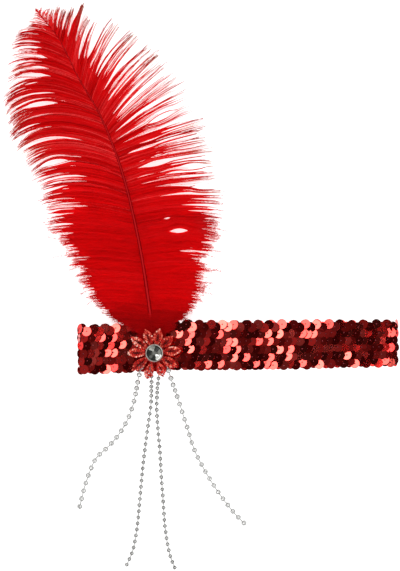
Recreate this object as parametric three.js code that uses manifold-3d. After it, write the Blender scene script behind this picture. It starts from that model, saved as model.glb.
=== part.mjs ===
// A flapper headband lying flat, as it comes out of its bag: a sequinned stretch band folded
// double, an ostrich plume, a flower of beaded loops round a rhinestone, and four bead strands.
// Millimetres, +Z up. The band runs along X with its back layer on the floor at Z = 0, the plume
// points along +Y and the strands lie towards -Y. The origin is under the middle of the band.
import * as THREE from "three";
import { mergeVertices } from "three/addons/utils/BufferGeometryUtils.js";
import Module from "manifold-3d";

const wasm = await Module();
wasm.setup();

// The air left between pieces that touch, and under what lies lightly on the floor.
const CLEARANCE = 0.3;
const FLOOR_CLEARANCE = 0.05;
const WELD_DISTANCE = 1e-4; // under which two points of a surface are one

// The band: elastic with its sequins, sewn into a loop and lying folded double.
const BAND_FLAT_LENGTH = 224;
const BAND_WIDTH = 34;
const BAND_WALL = 2.4;
const HEAD_GAP = 5; // between the two layers, where the head goes in
const END_LIFT = 1; // how much further the fold at each end stands open
const END_LIFT_REACH = 26; // how far in from each end the front layer is lifted
const BAND_DROOP = 3; // how far the left end lies below the line of the band
const BAND_DROOP_REACH = 80; // length of the stretch that bends down to the left end
const SEQUIN_PITCH = 4.6;
const SCALLOP_DEPTH = 1.1; // between neighbouring sequins along both edges

// Where the flower sits on the band.
const FLOWER_FROM_LEFT_END = 54;
const FLOWER_BELOW_MIDDLE = 5.2;

// The felt backing that the quill, the threads and the petals are sewn to.
const BACKING_RADIUS = 7;
const BACKING_THICKNESS = 1.3;
const POST_RADIUS = 3.6; // the stitched middle, down to the band
const ROUND_SIDES = 24;

// The plume.
const PLUME_LENGTH = 254; // straight from the flower's centre to the tip
const BARB_REACH = 68; // the longest barbs
const QUILL_RADIUS = 0.95;
const QUILL_TIP_RADIUS = 0.4;
const SHAFT_HEIGHT = 8; // of the shaft over the floor, carried by the barbs
const SUNK_AT = 0.5; // share of the shaft where it has come down to SHAFT_HEIGHT
const TIP_HEIGHT = 10; // of the tip, which curls up a little
const TIP_LIFT_FROM = 0.8; // share of the shaft where it starts to rise to the tip
const QUILL_SIDES = 6;
const BARB_ARCH = 2.6; // how far the barbs rise before they droop
const LOCKS_PER_SIDE = 18;
const LOCK_WIDTH = 15;
const LOCK_THICKNESS = 3;
const LOCK_TIP_WIDTH = 2.2;
const LOCK_TAPER = 2.6; // how late a lock narrows: 1 is evenly from the root on
const LOCK_WIDTH_FROM = -0.15; // share of BARB_REACH where a lock would have no width
const LOCK_FULL_WIDTH_AT = 0.7; // share of BARB_REACH from which a lock has its full width
const LOCK_PAST_BAND = 0.6; // share of a lock's width that still rests on the band
const LOCK_COMES_DOWN = 0.14; // share of the shaft in which the locks sink to the floor
const SHORT_LOCK_SHARE = 0.86; // every third lock is shorter
const LOCK_TIP_THICKNESS = 1.2;
const LOCK_ROOT_SHARE = 0.3; // of the barbs' reach, where a lock parts from the vane
const LOCK_STEPS = 4;
const BARB_STEPS = 8; // for tracing a barb's curve
const SHAFT_STEPS = 18;
const VANE_STEPS = 12;
const VANE_SHARE = 0.42; // of the barbs' reach, where they lie too close to tell apart
const VANE_EDGE_THICKNESS = 1.2;
const VANE_END = 0.95; // share of the shaft where the vane ends
const VANE_EDGE_CURL = 0.3; // share of the barbs' curl that they have at the vane's edge
const VANE_ARCH_SHARE = 0.5; // of BARB_ARCH, at the vane's edge

// The shaft from above, as shares of PLUME_LENGTH from the flower's centre.
const SHAFT_LINE = [
  { across: 0, along: 0 },
  { across: -0.018, along: 0.155 },
  { across: -0.046, along: 0.32 },
  { across: -0.088, along: 0.492 },
  { across: -0.145, along: 0.643 },
  { across: -0.206, along: 0.75 },
  { across: -0.262, along: 0.86 },
  { across: -0.328, along: 0.945 },
];

// The barbs of each side: at = share of the shaft's length, reach = share of BARB_REACH,
// lean = degrees from the shaft at the root, curl = degrees turned back by the tip.
const RIGHT_BARBS = [
  { at: 0.05, reach: 0.22, lean: 88, curl: 0 },
  { at: 0.075, reach: 0.34, lean: 90, curl: 2 },
  { at: 0.11, reach: 0.46, lean: 88, curl: 8 },
  { at: 0.2, reach: 0.64, lean: 86, curl: 16 },
  { at: 0.3, reach: 0.83, lean: 84, curl: 22 },
  { at: 0.4, reach: 0.99, lean: 82, curl: 24 },
  { at: 0.54, reach: 1.03, lean: 78, curl: 24 },
  { at: 0.64, reach: 0.97, lean: 76, curl: 20 },
  { at: 0.72, reach: 0.89, lean: 70, curl: 18 },
  { at: 0.79, reach: 0.76, lean: 57, curl: 16 },
  { at: 0.85, reach: 0.58, lean: 43, curl: 10 },
  { at: 0.9, reach: 0.35, lean: 31, curl: 4 },
  { at: 0.97, reach: 0.13, lean: 18, curl: 0 },
];
const LEFT_BARBS = [
  { at: 0.05, reach: 0.22, lean: 84, curl: 0 },
  { at: 0.075, reach: 0.34, lean: 82, curl: 4 },
  { at: 0.11, reach: 0.45, lean: 78, curl: 8 },
  { at: 0.2, reach: 0.66, lean: 80, curl: 14 },
  { at: 0.3, reach: 0.82, lean: 72, curl: 28 },
  { at: 0.4, reach: 0.98, lean: 62, curl: 38 },
  { at: 0.5, reach: 1.02, lean: 50, curl: 50 },
  { at: 0.6, reach: 1.06, lean: 34, curl: 64 },
  { at: 0.69, reach: 0.96, lean: 22, curl: 64 },
  { at: 0.77, reach: 0.82, lean: 20, curl: 54 },
  { at: 0.85, reach: 0.58, lean: 20, curl: 42 },
  { at: 0.91, reach: 0.35, lean: 16, curl: 24 },
  { at: 0.97, reach: 0.13, lean: 10, curl: 4 },
];

// The petals: each a long loop of seed beads with a shorter loop sewn on top of it.
// turn = degrees clockwise from +Y, reach = share of PETAL_REACH.
const PETAL_REACH = 20;
const PETAL_ROOT = 4.5; // from the flower's centre
const PETAL_WIDTH = 6.8;
const PETAL_BEAD = 1.7; // across one row of seed beads
const INNER_LOOP_SHARE = 0.74; // length of the upper loop against the lower one
const INNER_LOOP_WIDTH = 5.2;
const INNER_LOOP_RISE = 1.2; // of the upper loop over the lower one
const LOOP_POINTS = 6; // along each side of a loop
const LOOP_BULGE = 1.25; // how far past the middle a loop is widest: 1 is in the middle
const LOOP_BLUNTNESS = 0.25; // half the width of a loop's ends, as a share of a bead
const LOOP_HOLE_BLUNTNESS = 0.125; // the same of the hole in it
const LOOP_ROOT_BEADS = 1.6; // beads between a loop's root and its hole
const LOOP_SIDE_BEADS = 0.85; // beads between a loop's side and its hole
const PETALS = [
  { turn: -21.5, reach: 0.88 },
  { turn: 12.5, reach: 0.87 },
  { turn: 48, reach: 0.87 },
  { turn: 84, reach: 0.96 },
  { turn: 122, reach: 0.93 },
  { turn: 159, reach: 0.89 },
  { turn: 195.5, reach: 0.96 },
  { turn: 232.5, reach: 1 },
  { turn: 270, reach: 0.96 },
  { turn: 303.5, reach: 0.99 },
];

// The rhinestone and its cup.
const STONE_DIAMETER = 10.8;
const STONE_TABLE_SHARE = 0.5; // across the table, of the stone
const STONE_CROWN = 1.9;
const STONE_GIRDLE = 0.5;
const STONE_PAVILION = 1.6;
const STONE_FACETS = 8;
const STONE_CULET_SHARE = 0.3; // across the blunt point, of the stone
const STONE_SHOULDER_SHARE = 0.8; // across the crown's edge between star and kite facets
const STONE_SHOULDER_RISE = 0.6; // how high up the crown that edge lies
const STONE_UNDERCUT = 0.7; // of the pavilion's upper edge in from the girdle
const STONE_UNDERCUT_RISE = 0.1; // of the girdle's lower edge over the pavilion's upper one
const SETTING_WALL = 0.6;
const SETTING_FLOOR = 0.5;
const SETTING_LEDGE = 0.5; // under the stone's edge
const SETTING_RIM_OVER_GIRDLE = 0.5;
const SETTING_POST_RADIUS = 2.6;

// The strands. Outer ones have clear beads spaced on a thread, inner ones closer silver beads.
const OUTER_BEAD = 3.6;
const OUTER_BEAD_PITCH = 5.65;
const INNER_BEAD = 2.8;
const THREAD = 0.9;
const BEAD_SIDES = 10;
const BEAD_FLAT = 0.4; // share of a bead's radius to each side of its middle at full width
const BEAD_LENGTH = 0.96; // share of a bead's radius to each side of its middle, in all
const TUBE_SIDES = 8;
const TUBE_STEP = 2.5; // between sections of a strand of close beads, in beads
const TUBE_SHOULDER = 0.5; // from the thread to the full width of the first close bead
const POINTS_PER_ROUTE_POINT = 4;
const FIRST_BEAD = 9.4; // along a strand, from its end at the post
const STRAND_DROP_START = 17; // below the flower's centre, where strands leave the band's height
const STRAND_DROP_END = 33; // below the flower's centre, where they lie on the floor

// The strands' routes from above: chosen points from the flower's centre, X then Y.
const STRAND_ROUTES = {
  strand_outer_left: [
    [-3, -2.7], [-8.4, -7.4], [-10.2, -13.6], [-12.5, -24.6], [-15, -36], [-18.9, -46.9],
    [-24.9, -57.2], [-32.7, -66.3], [-41, -74.1], [-46.1, -85], [-49.8, -96.7], [-53, -110],
  ],
  strand_inner_left: [
    [-1.3, -3.8], [-3, -10.4], [-2, -17], [-2.3, -25], [-2.8, -37.6], [-4.6, -50.6],
    [-6.9, -67.8], [-8.8, -85], [-10.4, -102.4], [-12, -119.8], [-13.9, -132.5], [-16, -140.8],
    [-20.2, -150.3],
  ],
  strand_inner_right: [
    [1.4, -3.7], [2.8, -9.5], [2.8, -17.5], [1.9, -26.2], [1.4, -39], [2.1, -52],
    [3.6, -69.4], [4.6, -86.9], [5.9, -104.1], [7.1, -121.5], [8.9, -134.1], [10.8, -142.7],
    [14.5, -152.4],
  ],
  strand_outer_right: [
    [3.4, -2.1], [7.4, -4.8], [9, -10], [10.4, -14.4], [13.3, -23.5], [16.9, -34.6],
    [22.3, -51.2], [27.6, -67.8], [35.4, -83.4], [44.6, -98.1], [55, -111.8], [63.9, -121.1],
  ],
};

// Heights and places that follow from the sizes above.
const LOOP_RADIUS = (HEAD_GAP + BAND_WALL) / 2;
const END_RADIUS = LOOP_RADIUS + END_LIFT / 2;
const STRAIGHT_LENGTH = BAND_FLAT_LENGTH - 2 * END_RADIUS - BAND_WALL;
const BAND_TOP = HEAD_GAP + 2 * BAND_WALL;
const FLOWER_X = FLOWER_FROM_LEFT_END - BAND_FLAT_LENGTH / 2;
const FLOWER_Y = -FLOWER_BELOW_MIDDLE;
const BACKING_BOTTOM = BAND_TOP + 2 * QUILL_RADIUS + 2 * CLEARANCE;
const BACKING_TOP = Math.max(
  BACKING_BOTTOM + BACKING_THICKNESS,
  BAND_TOP + CLEARANCE + Math.max(OUTER_BEAD, INNER_BEAD)
);
const PETAL_BOTTOM = BACKING_TOP + CLEARANCE;
const SETTING_BOTTOM = PETAL_BOTTOM + PETAL_BEAD + CLEARANCE;
const STONE_RADIUS = STONE_DIAMETER / 2;
const QUILL_END = POST_RADIUS + CLEARANCE;

const MATERIALS = {
  band: new THREE.MeshStandardMaterial({ color: 0x8c0a12, roughness: 0.3, metalness: 0.7 }),
  plume: new THREE.MeshStandardMaterial({ color: 0xc4040c, roughness: 0.85, metalness: 0 }),
  felt: new THREE.MeshStandardMaterial({ color: 0x7a0c10, roughness: 0.95, metalness: 0 }),
  petal: new THREE.MeshStandardMaterial({ color: 0xb5231c, roughness: 0.25, metalness: 0 }),
  silver: new THREE.MeshStandardMaterial({ color: 0xc8c8c6, roughness: 0.25, metalness: 1 }),
  stone: new THREE.MeshStandardMaterial({ color: 0xdfe2df, roughness: 0.05, metalness: 0.2 }),
  clearBead: new THREE.MeshStandardMaterial({ color: 0xd9dad6, roughness: 0.1, metalness: 0 }),
};

const mix = (a, b, share) => a + (b - a) * share;
const ease = (from, to, value) => THREE.MathUtils.smoothstep(value, from, to);

// A closed solid through sections of the same number of points, ended by fans or joined round.
// Seen from the end that the sections lead to, the points of each go round anticlockwise.
function loft(sections, joinedRound = false) {
  const count = sections[0].length;
  const rings = sections.length;
  const positions = sections.flat().flatMap((p) => [p.x, p.y, p.z]);
  const faces = [];
  const bands = joinedRound ? rings : rings - 1;
  for (let i = 0; i < bands; i++) {
    for (let j = 0; j < count; j++) {
      const a = i * count + j;
      const b = i * count + ((j + 1) % count);
      const c = ((i + 1) % rings) * count + ((j + 1) % count);
      const d = ((i + 1) % rings) * count + j;
      faces.push(a, b, c, a, c, d);
    }
  }
  if (!joinedRound) {
    const last = (rings - 1) * count;
    for (let j = 1; j < count - 1; j++) {
      faces.push(0, j + 1, j, last, last + j, last + j + 1);
    }
  }
  const geometry = new THREE.BufferGeometry();
  geometry.setAttribute("position", new THREE.Float32BufferAttribute(positions, 3));
  geometry.setIndex(faces);
  return geometry;
}

function solidFrom(geometry) {
  const bare = geometry.clone();
  bare.deleteAttribute("normal");
  bare.deleteAttribute("uv");
  const merged = mergeVertices(bare, WELD_DISTANCE);
  const mesh = new wasm.Mesh({
    numProp: 3,
    vertProperties: new Float32Array(merged.attributes.position.array),
    triVerts: new Uint32Array(merged.index.array),
  });
  return new wasm.Manifold(mesh);
}

function geometryFrom(solid) {
  const mesh = solid.getMesh();
  const geometry = new THREE.BufferGeometry();
  geometry.setAttribute("position", new THREE.BufferAttribute(mesh.vertProperties, 3));
  geometry.setIndex(new THREE.BufferAttribute(mesh.triVerts, 1));
  geometry.computeVertexNormals();
  return geometry;
}

// Joins solids into one, and fills the pockets that they close off between them.
function fuse(geometries) {
  const joined = geometries.map(solidFrom).reduce((whole, next) => whole.add(next));
  const skins = joined.decompose().sort((a, b) => b.volume() - a.volume());
  return geometryFrom(skins[0]);
}

function piece(name, geometry, material) {
  const mesh = new THREE.Mesh(geometry, material);
  mesh.name = name;
  return mesh;
}

// The band

// How far the middle of the band's width lies off the X axis.
function bandLine(x) {
  const bendStart = -BAND_FLAT_LENGTH / 2 + BAND_DROOP_REACH;
  return -BAND_DROOP * ease(0, BAND_DROOP_REACH, bendStart - x);
}

// How much the front layer is lifted towards the folds at both ends.
function endLift(x) {
  const half = STRAIGHT_LENGTH / 2;
  return END_LIFT * ease(half - END_LIFT_REACH, half, Math.abs(x));
}

// A place halfway through the wall and the outward direction there, both in the XZ plane.
function bandPlace(distance) {
  const half = STRAIGHT_LENGTH / 2;
  const fold = Math.PI * END_RADIUS;
  const middle = BAND_WALL / 2 + END_RADIUS;
  if (distance < STRAIGHT_LENGTH) {
    return { x: distance - half, z: BAND_WALL / 2, outX: 0, outZ: -1 };
  }
  if (distance < STRAIGHT_LENGTH + fold) {
    const turn = (distance - STRAIGHT_LENGTH) / END_RADIUS - Math.PI / 2;
    const [outX, outZ] = [Math.cos(turn), Math.sin(turn)];
    return { x: half + END_RADIUS * outX, z: middle + END_RADIUS * outZ, outX, outZ };
  }
  if (distance < 2 * STRAIGHT_LENGTH + fold) {
    const x = half - (distance - STRAIGHT_LENGTH - fold);
    return { x, z: BAND_WALL / 2 + 2 * LOOP_RADIUS + endLift(x), outX: 0, outZ: 1 };
  }
  const turn = (distance - 2 * STRAIGHT_LENGTH - fold) / END_RADIUS + Math.PI / 2;
  const [outX, outZ] = [Math.cos(turn), Math.sin(turn)];
  return { x: -half + END_RADIUS * outX, z: middle + END_RADIUS * outZ, outX, outZ };
}

// The wall goes once round the loop, with a scallop for each edge sequin.
function makeBand() {
  const around = 2 * STRAIGHT_LENGTH + 2 * Math.PI * END_RADIUS;
  const scallops = Math.round(around / SEQUIN_PITCH);
  const sections = [];
  for (let i = 0; i < 2 * scallops; i++) {
    const { x, z, outX, outZ } = bandPlace((i / (2 * scallops)) * around);
    const half = BAND_WIDTH / 2 - (i % 2 ? SCALLOP_DEPTH : 0);
    const corner = (side, edge) =>
      new THREE.Vector3(
        x + (side * outX * BAND_WALL) / 2,
        bandLine(x) + edge * half,
        z + (side * outZ * BAND_WALL) / 2
      );
    sections.push([corner(1, -1), corner(1, 1), corner(-1, 1), corner(-1, -1)]);
  }
  return piece("sequin_band", loft(sections, true), MATERIALS.band);
}

// The plume

const shaftCurve = new THREE.CatmullRomCurve3(
  SHAFT_LINE.map(
    ({ across, along }) => new THREE.Vector3(across * PLUME_LENGTH, along * PLUME_LENGTH, 0)
  ),
  false,
  "centripetal"
);

// Where the plume has left the band and may sink to the floor, as a share of the shaft.
const CLEAR_OF_BAND = (BAND_WIDTH / 2 + FLOWER_BELOW_MIDDLE + LOCK_WIDTH * LOCK_PAST_BAND) / PLUME_LENGTH;
const DOWN_ON_FLOOR = CLEAR_OF_BAND + LOCK_COMES_DOWN;

function shaftHeight(at) {
  const onBand = BAND_TOP + CLEARANCE + QUILL_RADIUS;
  const sunk = mix(onBand, SHAFT_HEIGHT, ease(CLEAR_OF_BAND, SUNK_AT, at));
  return mix(sunk, TIP_HEIGHT, ease(TIP_LIFT_FROM, 1, at));
}

function shaftPoint(at) {
  const point = shaftCurve.getPointAt(at);
  return new THREE.Vector3(point.x, point.y, shaftHeight(at));
}

// A column of a barb table at any share of the shaft, in between its rows.
function barbValue(table, column, at) {
  const next = table.findIndex((row) => row.at >= at);
  if (next <= 0) return table[next === 0 ? 0 : table.length - 1][column];
  const [before, after] = [table[next - 1], table[next]];
  return mix(before[column], after[column], (at - before.at) / (after.at - before.at));
}

// Points along one barb, from its root on the shaft to its tip.
function barbLine(table, side, at, steps) {
  const reach = barbValue(table, "reach", at) * BARB_REACH;
  const lean = barbValue(table, "lean", at);
  const curl = barbValue(table, "curl", at);
  const root = shaftPoint(at);
  const tangent = shaftCurve.getTangentAt(at);
  const heading = Math.atan2(tangent.y, tangent.x);
  const onBand = BAND_TOP + CLEARANCE + LOCK_THICKNESS / 2;
  const floor = LOCK_TIP_THICKNESS / 2;
  const tipHeight = mix(onBand, floor, ease(CLEAR_OF_BAND, DOWN_ON_FLOOR, at));
  const arch = BARB_ARCH * ease(CLEAR_OF_BAND, DOWN_ON_FLOOR, at);
  const points = [];
  const flat = new THREE.Vector2(root.x, root.y);
  for (let i = 0; i <= steps; i++) {
    const share = i / steps;
    const height = mix(Math.max(root.z, tipHeight), tipHeight, share * share);
    points.push(new THREE.Vector3(flat.x, flat.y, height + arch * Math.sin(Math.PI * share)));
    const turn = THREE.MathUtils.degToRad(lean + curl * (share + 0.5 / steps));
    flat.x += (reach / steps) * Math.cos(heading - side * turn);
    flat.y += (reach / steps) * Math.sin(heading - side * turn);
  }
  return points;
}

// One lock: a flat tapering blade of many barbs, with a four-sided section.
function makeLock(table, side, at, lengthShare) {
  const barb = new THREE.CatmullRomCurve3(barbLine(table, side, at, BARB_STEPS));
  const reach = barbValue(table, "reach", at);
  const width = LOCK_WIDTH * ease(LOCK_WIDTH_FROM, LOCK_FULL_WIDTH_AT, reach);
  const sections = [];
  for (let i = 0; i <= LOCK_STEPS; i++) {
    const share = i / LOCK_STEPS;
    const along = mix(LOCK_ROOT_SHARE, lengthShare, share);
    const point = barb.getPointAt(along);
    const tangent = barb.getTangentAt(along);
    const across = new THREE.Vector3(-tangent.y, tangent.x, 0).normalize();
    const halfWidth = mix(width, LOCK_TIP_WIDTH, share ** LOCK_TAPER) / 2;
    const halfThickness = mix(LOCK_THICKNESS, LOCK_TIP_THICKNESS, share) / 2;
    sections.push([
      point.clone().addScaledVector(across, halfWidth),
      point.clone().setZ(point.z + halfThickness),
      point.clone().addScaledVector(across, -halfWidth),
      point.clone().setZ(point.z - halfThickness),
    ]);
  }
  return loft(sections);
}

// The middle of the vane, where the barbs are too close to tell apart.
function makeVane() {
  const sections = [];
  const [first, last] = [RIGHT_BARBS[1].at, VANE_END];
  for (let i = 0; i <= VANE_STEPS; i++) {
    const at = mix(first, last, i / VANE_STEPS);
    const middle = shaftPoint(at);
    const edge = (table, side) => {
      const point = middle.clone();
      const reach = VANE_SHARE * BARB_REACH * barbValue(table, "reach", at);
      const curled = VANE_EDGE_CURL * barbValue(table, "curl", at);
      const lean = barbValue(table, "lean", at) + curled;
      const tangent = shaftCurve.getTangentAt(at);
      const heading = Math.atan2(tangent.y, tangent.x) - side * THREE.MathUtils.degToRad(lean);
      point.x += reach * Math.cos(heading);
      point.y += reach * Math.sin(heading);
      point.z += BARB_ARCH * VANE_ARCH_SHARE * ease(CLEAR_OF_BAND, DOWN_ON_FLOOR, at);
      return point;
    };
    const [left, right] = [edge(LEFT_BARBS, -1), edge(RIGHT_BARBS, 1)];
    const lift = (point, amount) => point.clone().setZ(point.z + amount);
    sections.push([
      lift(right, VANE_EDGE_THICKNESS / 2),
      lift(right, -VANE_EDGE_THICKNESS / 2),
      lift(middle, -QUILL_RADIUS),
      lift(left, -VANE_EDGE_THICKNESS / 2),
      lift(left, VANE_EDGE_THICKNESS / 2),
      lift(middle, LOCK_THICKNESS / 2),
    ]);
  }
  return loft(sections);
}

function makeShaft() {
  const start = QUILL_END / shaftCurve.getLength();
  const sections = [];
  for (let i = 0; i <= SHAFT_STEPS; i++) {
    const share = i / SHAFT_STEPS;
    const at = mix(start, 1, share);
    const tangent = shaftCurve.getTangentAt(at);
    const across = new THREE.Vector3(-tangent.y, tangent.x, 0);
    const radius = mix(QUILL_RADIUS, QUILL_TIP_RADIUS, share);
    const section = [];
    for (let k = 0; k < QUILL_SIDES; k++) {
      const turn = (k / QUILL_SIDES) * 2 * Math.PI;
      const point = shaftPoint(at).addScaledVector(across, radius * Math.cos(turn));
      section.push(point.setZ(point.z + radius * Math.sin(turn)));
    }
    sections.push(section);
  }
  return loft(sections);
}

// Shaft, vane and locks are one feather, so they are fused.
function makePlume() {
  const parts = [makeShaft(), makeVane()];
  const [first, last] = [RIGHT_BARBS[1].at, RIGHT_BARBS[RIGHT_BARBS.length - 1].at];
  for (let i = 0; i < LOCKS_PER_SIDE; i++) {
    const at = mix(first, last, i / (LOCKS_PER_SIDE - 1));
    const rightLength = i % 3 === 1 ? SHORT_LOCK_SHARE : 1;
    const leftLength = i % 3 === 2 ? SHORT_LOCK_SHARE : 1;
    parts.push(makeLock(RIGHT_BARBS, 1, at, rightLength));
    parts.push(makeLock(LEFT_BARBS, -1, at, leftLength));
  }
  const plume = piece("ostrich_plume", fuse(parts), MATERIALS.plume);
  plume.position.set(FLOWER_X, FLOWER_Y, 0);
  return plume;
}

// The flower

// A solid of revolution about the flower's centre line, from a closed profile.
function turned(name, profile, material) {
  const points = profile.map(([radius, height]) => new THREE.Vector2(radius, height));
  const mesh = piece(name, new THREE.LatheGeometry(points, ROUND_SIDES), material);
  mesh.rotation.x = Math.PI / 2;
  mesh.position.set(FLOWER_X, FLOWER_Y, 0);
  return mesh;
}

function makeBacking() {
  return turned(
    "flower_backing",
    [
      [0, BAND_TOP + CLEARANCE],
      [POST_RADIUS, BAND_TOP + CLEARANCE],
      [POST_RADIUS, BACKING_BOTTOM],
      [BACKING_RADIUS, BACKING_BOTTOM],
      [BACKING_RADIUS, BACKING_TOP],
      [0, BACKING_TOP],
    ],
    MATERIALS.felt
  );
}

// The outline of a loop: pointed at root and tip, widest past the middle. halfWidth is taken
// at the widest place, and the points go up one side and down the other.
function loopOutline(root, tip, halfWidth, blunt) {
  const side = [];
  for (let i = 0; i <= LOOP_POINTS; i++) {
    const share = i / LOOP_POINTS;
    const bulge = Math.sin(Math.PI * share ** LOOP_BULGE);
    side.push([mix(blunt, halfWidth, bulge), mix(root, tip, share)]);
  }
  const back = side.map(([x, y]) => [-x, y]).reverse();
  return [...side, ...back].map(([x, y]) => new THREE.Vector2(x, y));
}

// A flat ring of one bead's height that follows a loop, pointing along +Y.
function loopRing(root, tip, width, bottom) {
  const outer = loopOutline(root, tip, width / 2, PETAL_BEAD * LOOP_BLUNTNESS);
  const inner = loopOutline(
    root + LOOP_ROOT_BEADS * PETAL_BEAD,
    tip - PETAL_BEAD,
    width / 2 - PETAL_BEAD * LOOP_SIDE_BEADS,
    PETAL_BEAD * LOOP_HOLE_BLUNTNESS
  );
  const shape = new THREE.Shape(outer);
  shape.holes.push(new THREE.Path(inner));
  const ring = new THREE.ExtrudeGeometry(shape, { depth: PETAL_BEAD, bevelEnabled: false });
  return ring.translate(0, 0, bottom);
}

function makePetal({ turn, reach }, index) {
  const tip = PETAL_REACH * reach;
  const shortTip = mix(PETAL_ROOT, tip, INNER_LOOP_SHARE);
  const lower = loopRing(PETAL_ROOT, tip, PETAL_WIDTH, PETAL_BOTTOM);
  const innerRoot = STONE_RADIUS + SETTING_WALL + CLEARANCE;
  const upper = loopRing(innerRoot, shortTip, INNER_LOOP_WIDTH, PETAL_BOTTOM + INNER_LOOP_RISE);
  const name = `petal_${String(index + 1).padStart(2, "0")}`;
  const petal = piece(name, fuse([lower, upper]), MATERIALS.petal);
  petal.rotation.z = -THREE.MathUtils.degToRad(turn);
  petal.position.set(FLOWER_X, FLOWER_Y, 0);
  return petal;
}

// A metal cup on a post, with the stone's girdle resting on the ledge inside its wall.
function makeSetting() {
  const inner = STONE_RADIUS - SETTING_LEDGE;
  const outer = STONE_RADIUS + SETTING_WALL + CLEARANCE;
  const seat = SETTING_BOTTOM + SETTING_FLOOR + STONE_PAVILION;
  const rim = seat + CLEARANCE + STONE_GIRDLE + SETTING_RIM_OVER_GIRDLE;
  return turned(
    "stone_setting",
    [
      [0, BACKING_TOP + CLEARANCE],
      [SETTING_POST_RADIUS, BACKING_TOP + CLEARANCE],
      [SETTING_POST_RADIUS, SETTING_BOTTOM],
      [outer, SETTING_BOTTOM],
      [outer, rim],
      [STONE_RADIUS + CLEARANCE, rim],
      [STONE_RADIUS + CLEARANCE, seat],
      [inner, seat],
      [inner, SETTING_BOTTOM + SETTING_FLOOR],
      [0, SETTING_BOTTOM + SETTING_FLOOR],
    ],
    MATERIALS.silver
  );
}

// A round cut stone: table, star and kite facets on the crown, girdle, and a blunt pavilion.
function makeStone() {
  const seat = SETTING_BOTTOM + SETTING_FLOOR + STONE_PAVILION + CLEARANCE;
  const ring = (radius, height) => {
    const points = [];
    for (let i = 0; i < 2 * STONE_FACETS; i++) {
      const turn = (i / STONE_FACETS) * Math.PI;
      points.push(new THREE.Vector3(radius * Math.cos(turn), radius * Math.sin(turn), height));
    }
    return points;
  };
  const crown = seat + STONE_GIRDLE;
  const sections = [
    ring(STONE_RADIUS * STONE_CULET_SHARE, seat - STONE_PAVILION + CLEARANCE),
    ring(STONE_RADIUS - STONE_UNDERCUT, seat - CLEARANCE),
    ring(STONE_RADIUS, seat + STONE_UNDERCUT_RISE),
    ring(STONE_RADIUS, crown),
    ring(STONE_RADIUS * STONE_SHOULDER_SHARE, crown + STONE_CROWN * STONE_SHOULDER_RISE),
    ring(STONE_RADIUS * STONE_TABLE_SHARE, crown + STONE_CROWN),
  ];
  const stone = piece("rhinestone", loft(sections), MATERIALS.stone);
  stone.position.set(FLOWER_X, FLOWER_Y, 0);
  return stone;
}

// The strands

// A strand's height: at the post, over the band, and down to the floor beyond its lower edge.
function strandHeight(point, bead) {
  const atPost = (BAND_TOP + CLEARANCE + BACKING_BOTTOM) / 2;
  const onBand = BAND_TOP + CLEARANCE + bead / 2;
  const fromPost = Math.hypot(point.x, point.y);
  const near = mix(atPost, onBand, ease(POST_RADIUS, FIRST_BEAD, fromPost));
  const onFloor = FLOOR_CLEARANCE + bead / 2;
  return mix(near, onFloor, ease(STRAND_DROP_START, STRAND_DROP_END, -point.y));
}

function strandCurve(route, bead) {
  const points = route.map(([x, y]) => new THREE.Vector3(x, y, 0));
  const flat = new THREE.CatmullRomCurve3(points, false, "centripetal");
  const raised = flat.getSpacedPoints(POINTS_PER_ROUTE_POINT * route.length);
  raised.forEach((point) => point.setZ(strandHeight(point, bead)));
  return new THREE.CatmullRomCurve3(raised, false, "centripetal");
}

// A round section with its flat sides up and down, square to the strand.
function strandSection(curve, distance, radius, sides) {
  const at = THREE.MathUtils.clamp(distance / curve.getLength(), 0, 1);
  const tangent = curve.getTangentAt(at);
  const across = new THREE.Vector3(-tangent.y, tangent.x, 0).normalize();
  const up = new THREE.Vector3().crossVectors(tangent, across);
  const section = [];
  for (let i = 0; i < sides; i++) {
    const turn = ((i + 0.5) / sides) * 2 * Math.PI;
    section.push(
      curve
        .getPointAt(at)
        .addScaledVector(across, radius * Math.cos(turn))
        .addScaledVector(up, radius * Math.sin(turn))
    );
  }
  return section;
}

// Round beads and their thread as one skin: each bead is a neck, two wide rings and a neck.
function makeBeadedStrand(name, route) {
  const curve = strandCurve(route, OUTER_BEAD);
  const length = curve.getLength();
  const radius = OUTER_BEAD / 2;
  const count = Math.floor((length - FIRST_BEAD - radius) / OUTER_BEAD_PITCH) + 1;
  const start = length - radius - (count - 1) * OUTER_BEAD_PITCH;
  const sections = [strandSection(curve, 0, THREAD / 2, BEAD_SIDES)];
  for (let i = 0; i < count; i++) {
    const middle = start + i * OUTER_BEAD_PITCH;
    sections.push(
      strandSection(curve, middle - radius * BEAD_LENGTH, THREAD / 2, BEAD_SIDES),
      strandSection(curve, middle - radius * BEAD_FLAT, radius, BEAD_SIDES),
      strandSection(curve, middle + radius * BEAD_FLAT, radius, BEAD_SIDES),
      strandSection(curve, middle + radius * BEAD_LENGTH, THREAD / 2, BEAD_SIDES)
    );
  }
  return piece(name, loft(sections), MATERIALS.clearBead);
}

// The closest beads, as a plain tube of their own width.
function makePlainStrand(name, route) {
  const curve = strandCurve(route, INNER_BEAD);
  const length = curve.getLength();
  const thin = FIRST_BEAD - INNER_BEAD;
  const steps = Math.round((length - thin) / (TUBE_STEP * INNER_BEAD));
  const sections = [
    strandSection(curve, 0, THREAD / 2, TUBE_SIDES),
    strandSection(curve, thin - TUBE_SHOULDER, THREAD / 2, TUBE_SIDES),
  ];
  for (let i = 0; i <= steps; i++) {
    const distance = mix(thin, length, i / steps);
    sections.push(strandSection(curve, distance, INNER_BEAD / 2, TUBE_SIDES));
  }
  return piece(name, loft(sections), MATERIALS.silver);
}

function makeStrands() {
  return Object.entries(STRAND_ROUTES).map(([name, route]) => {
    const make = name.includes("outer") ? makeBeadedStrand : makePlainStrand;
    const strand = make(name, route);
    strand.position.set(FLOWER_X, FLOWER_Y, 0);
    return strand;
  });
}

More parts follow.
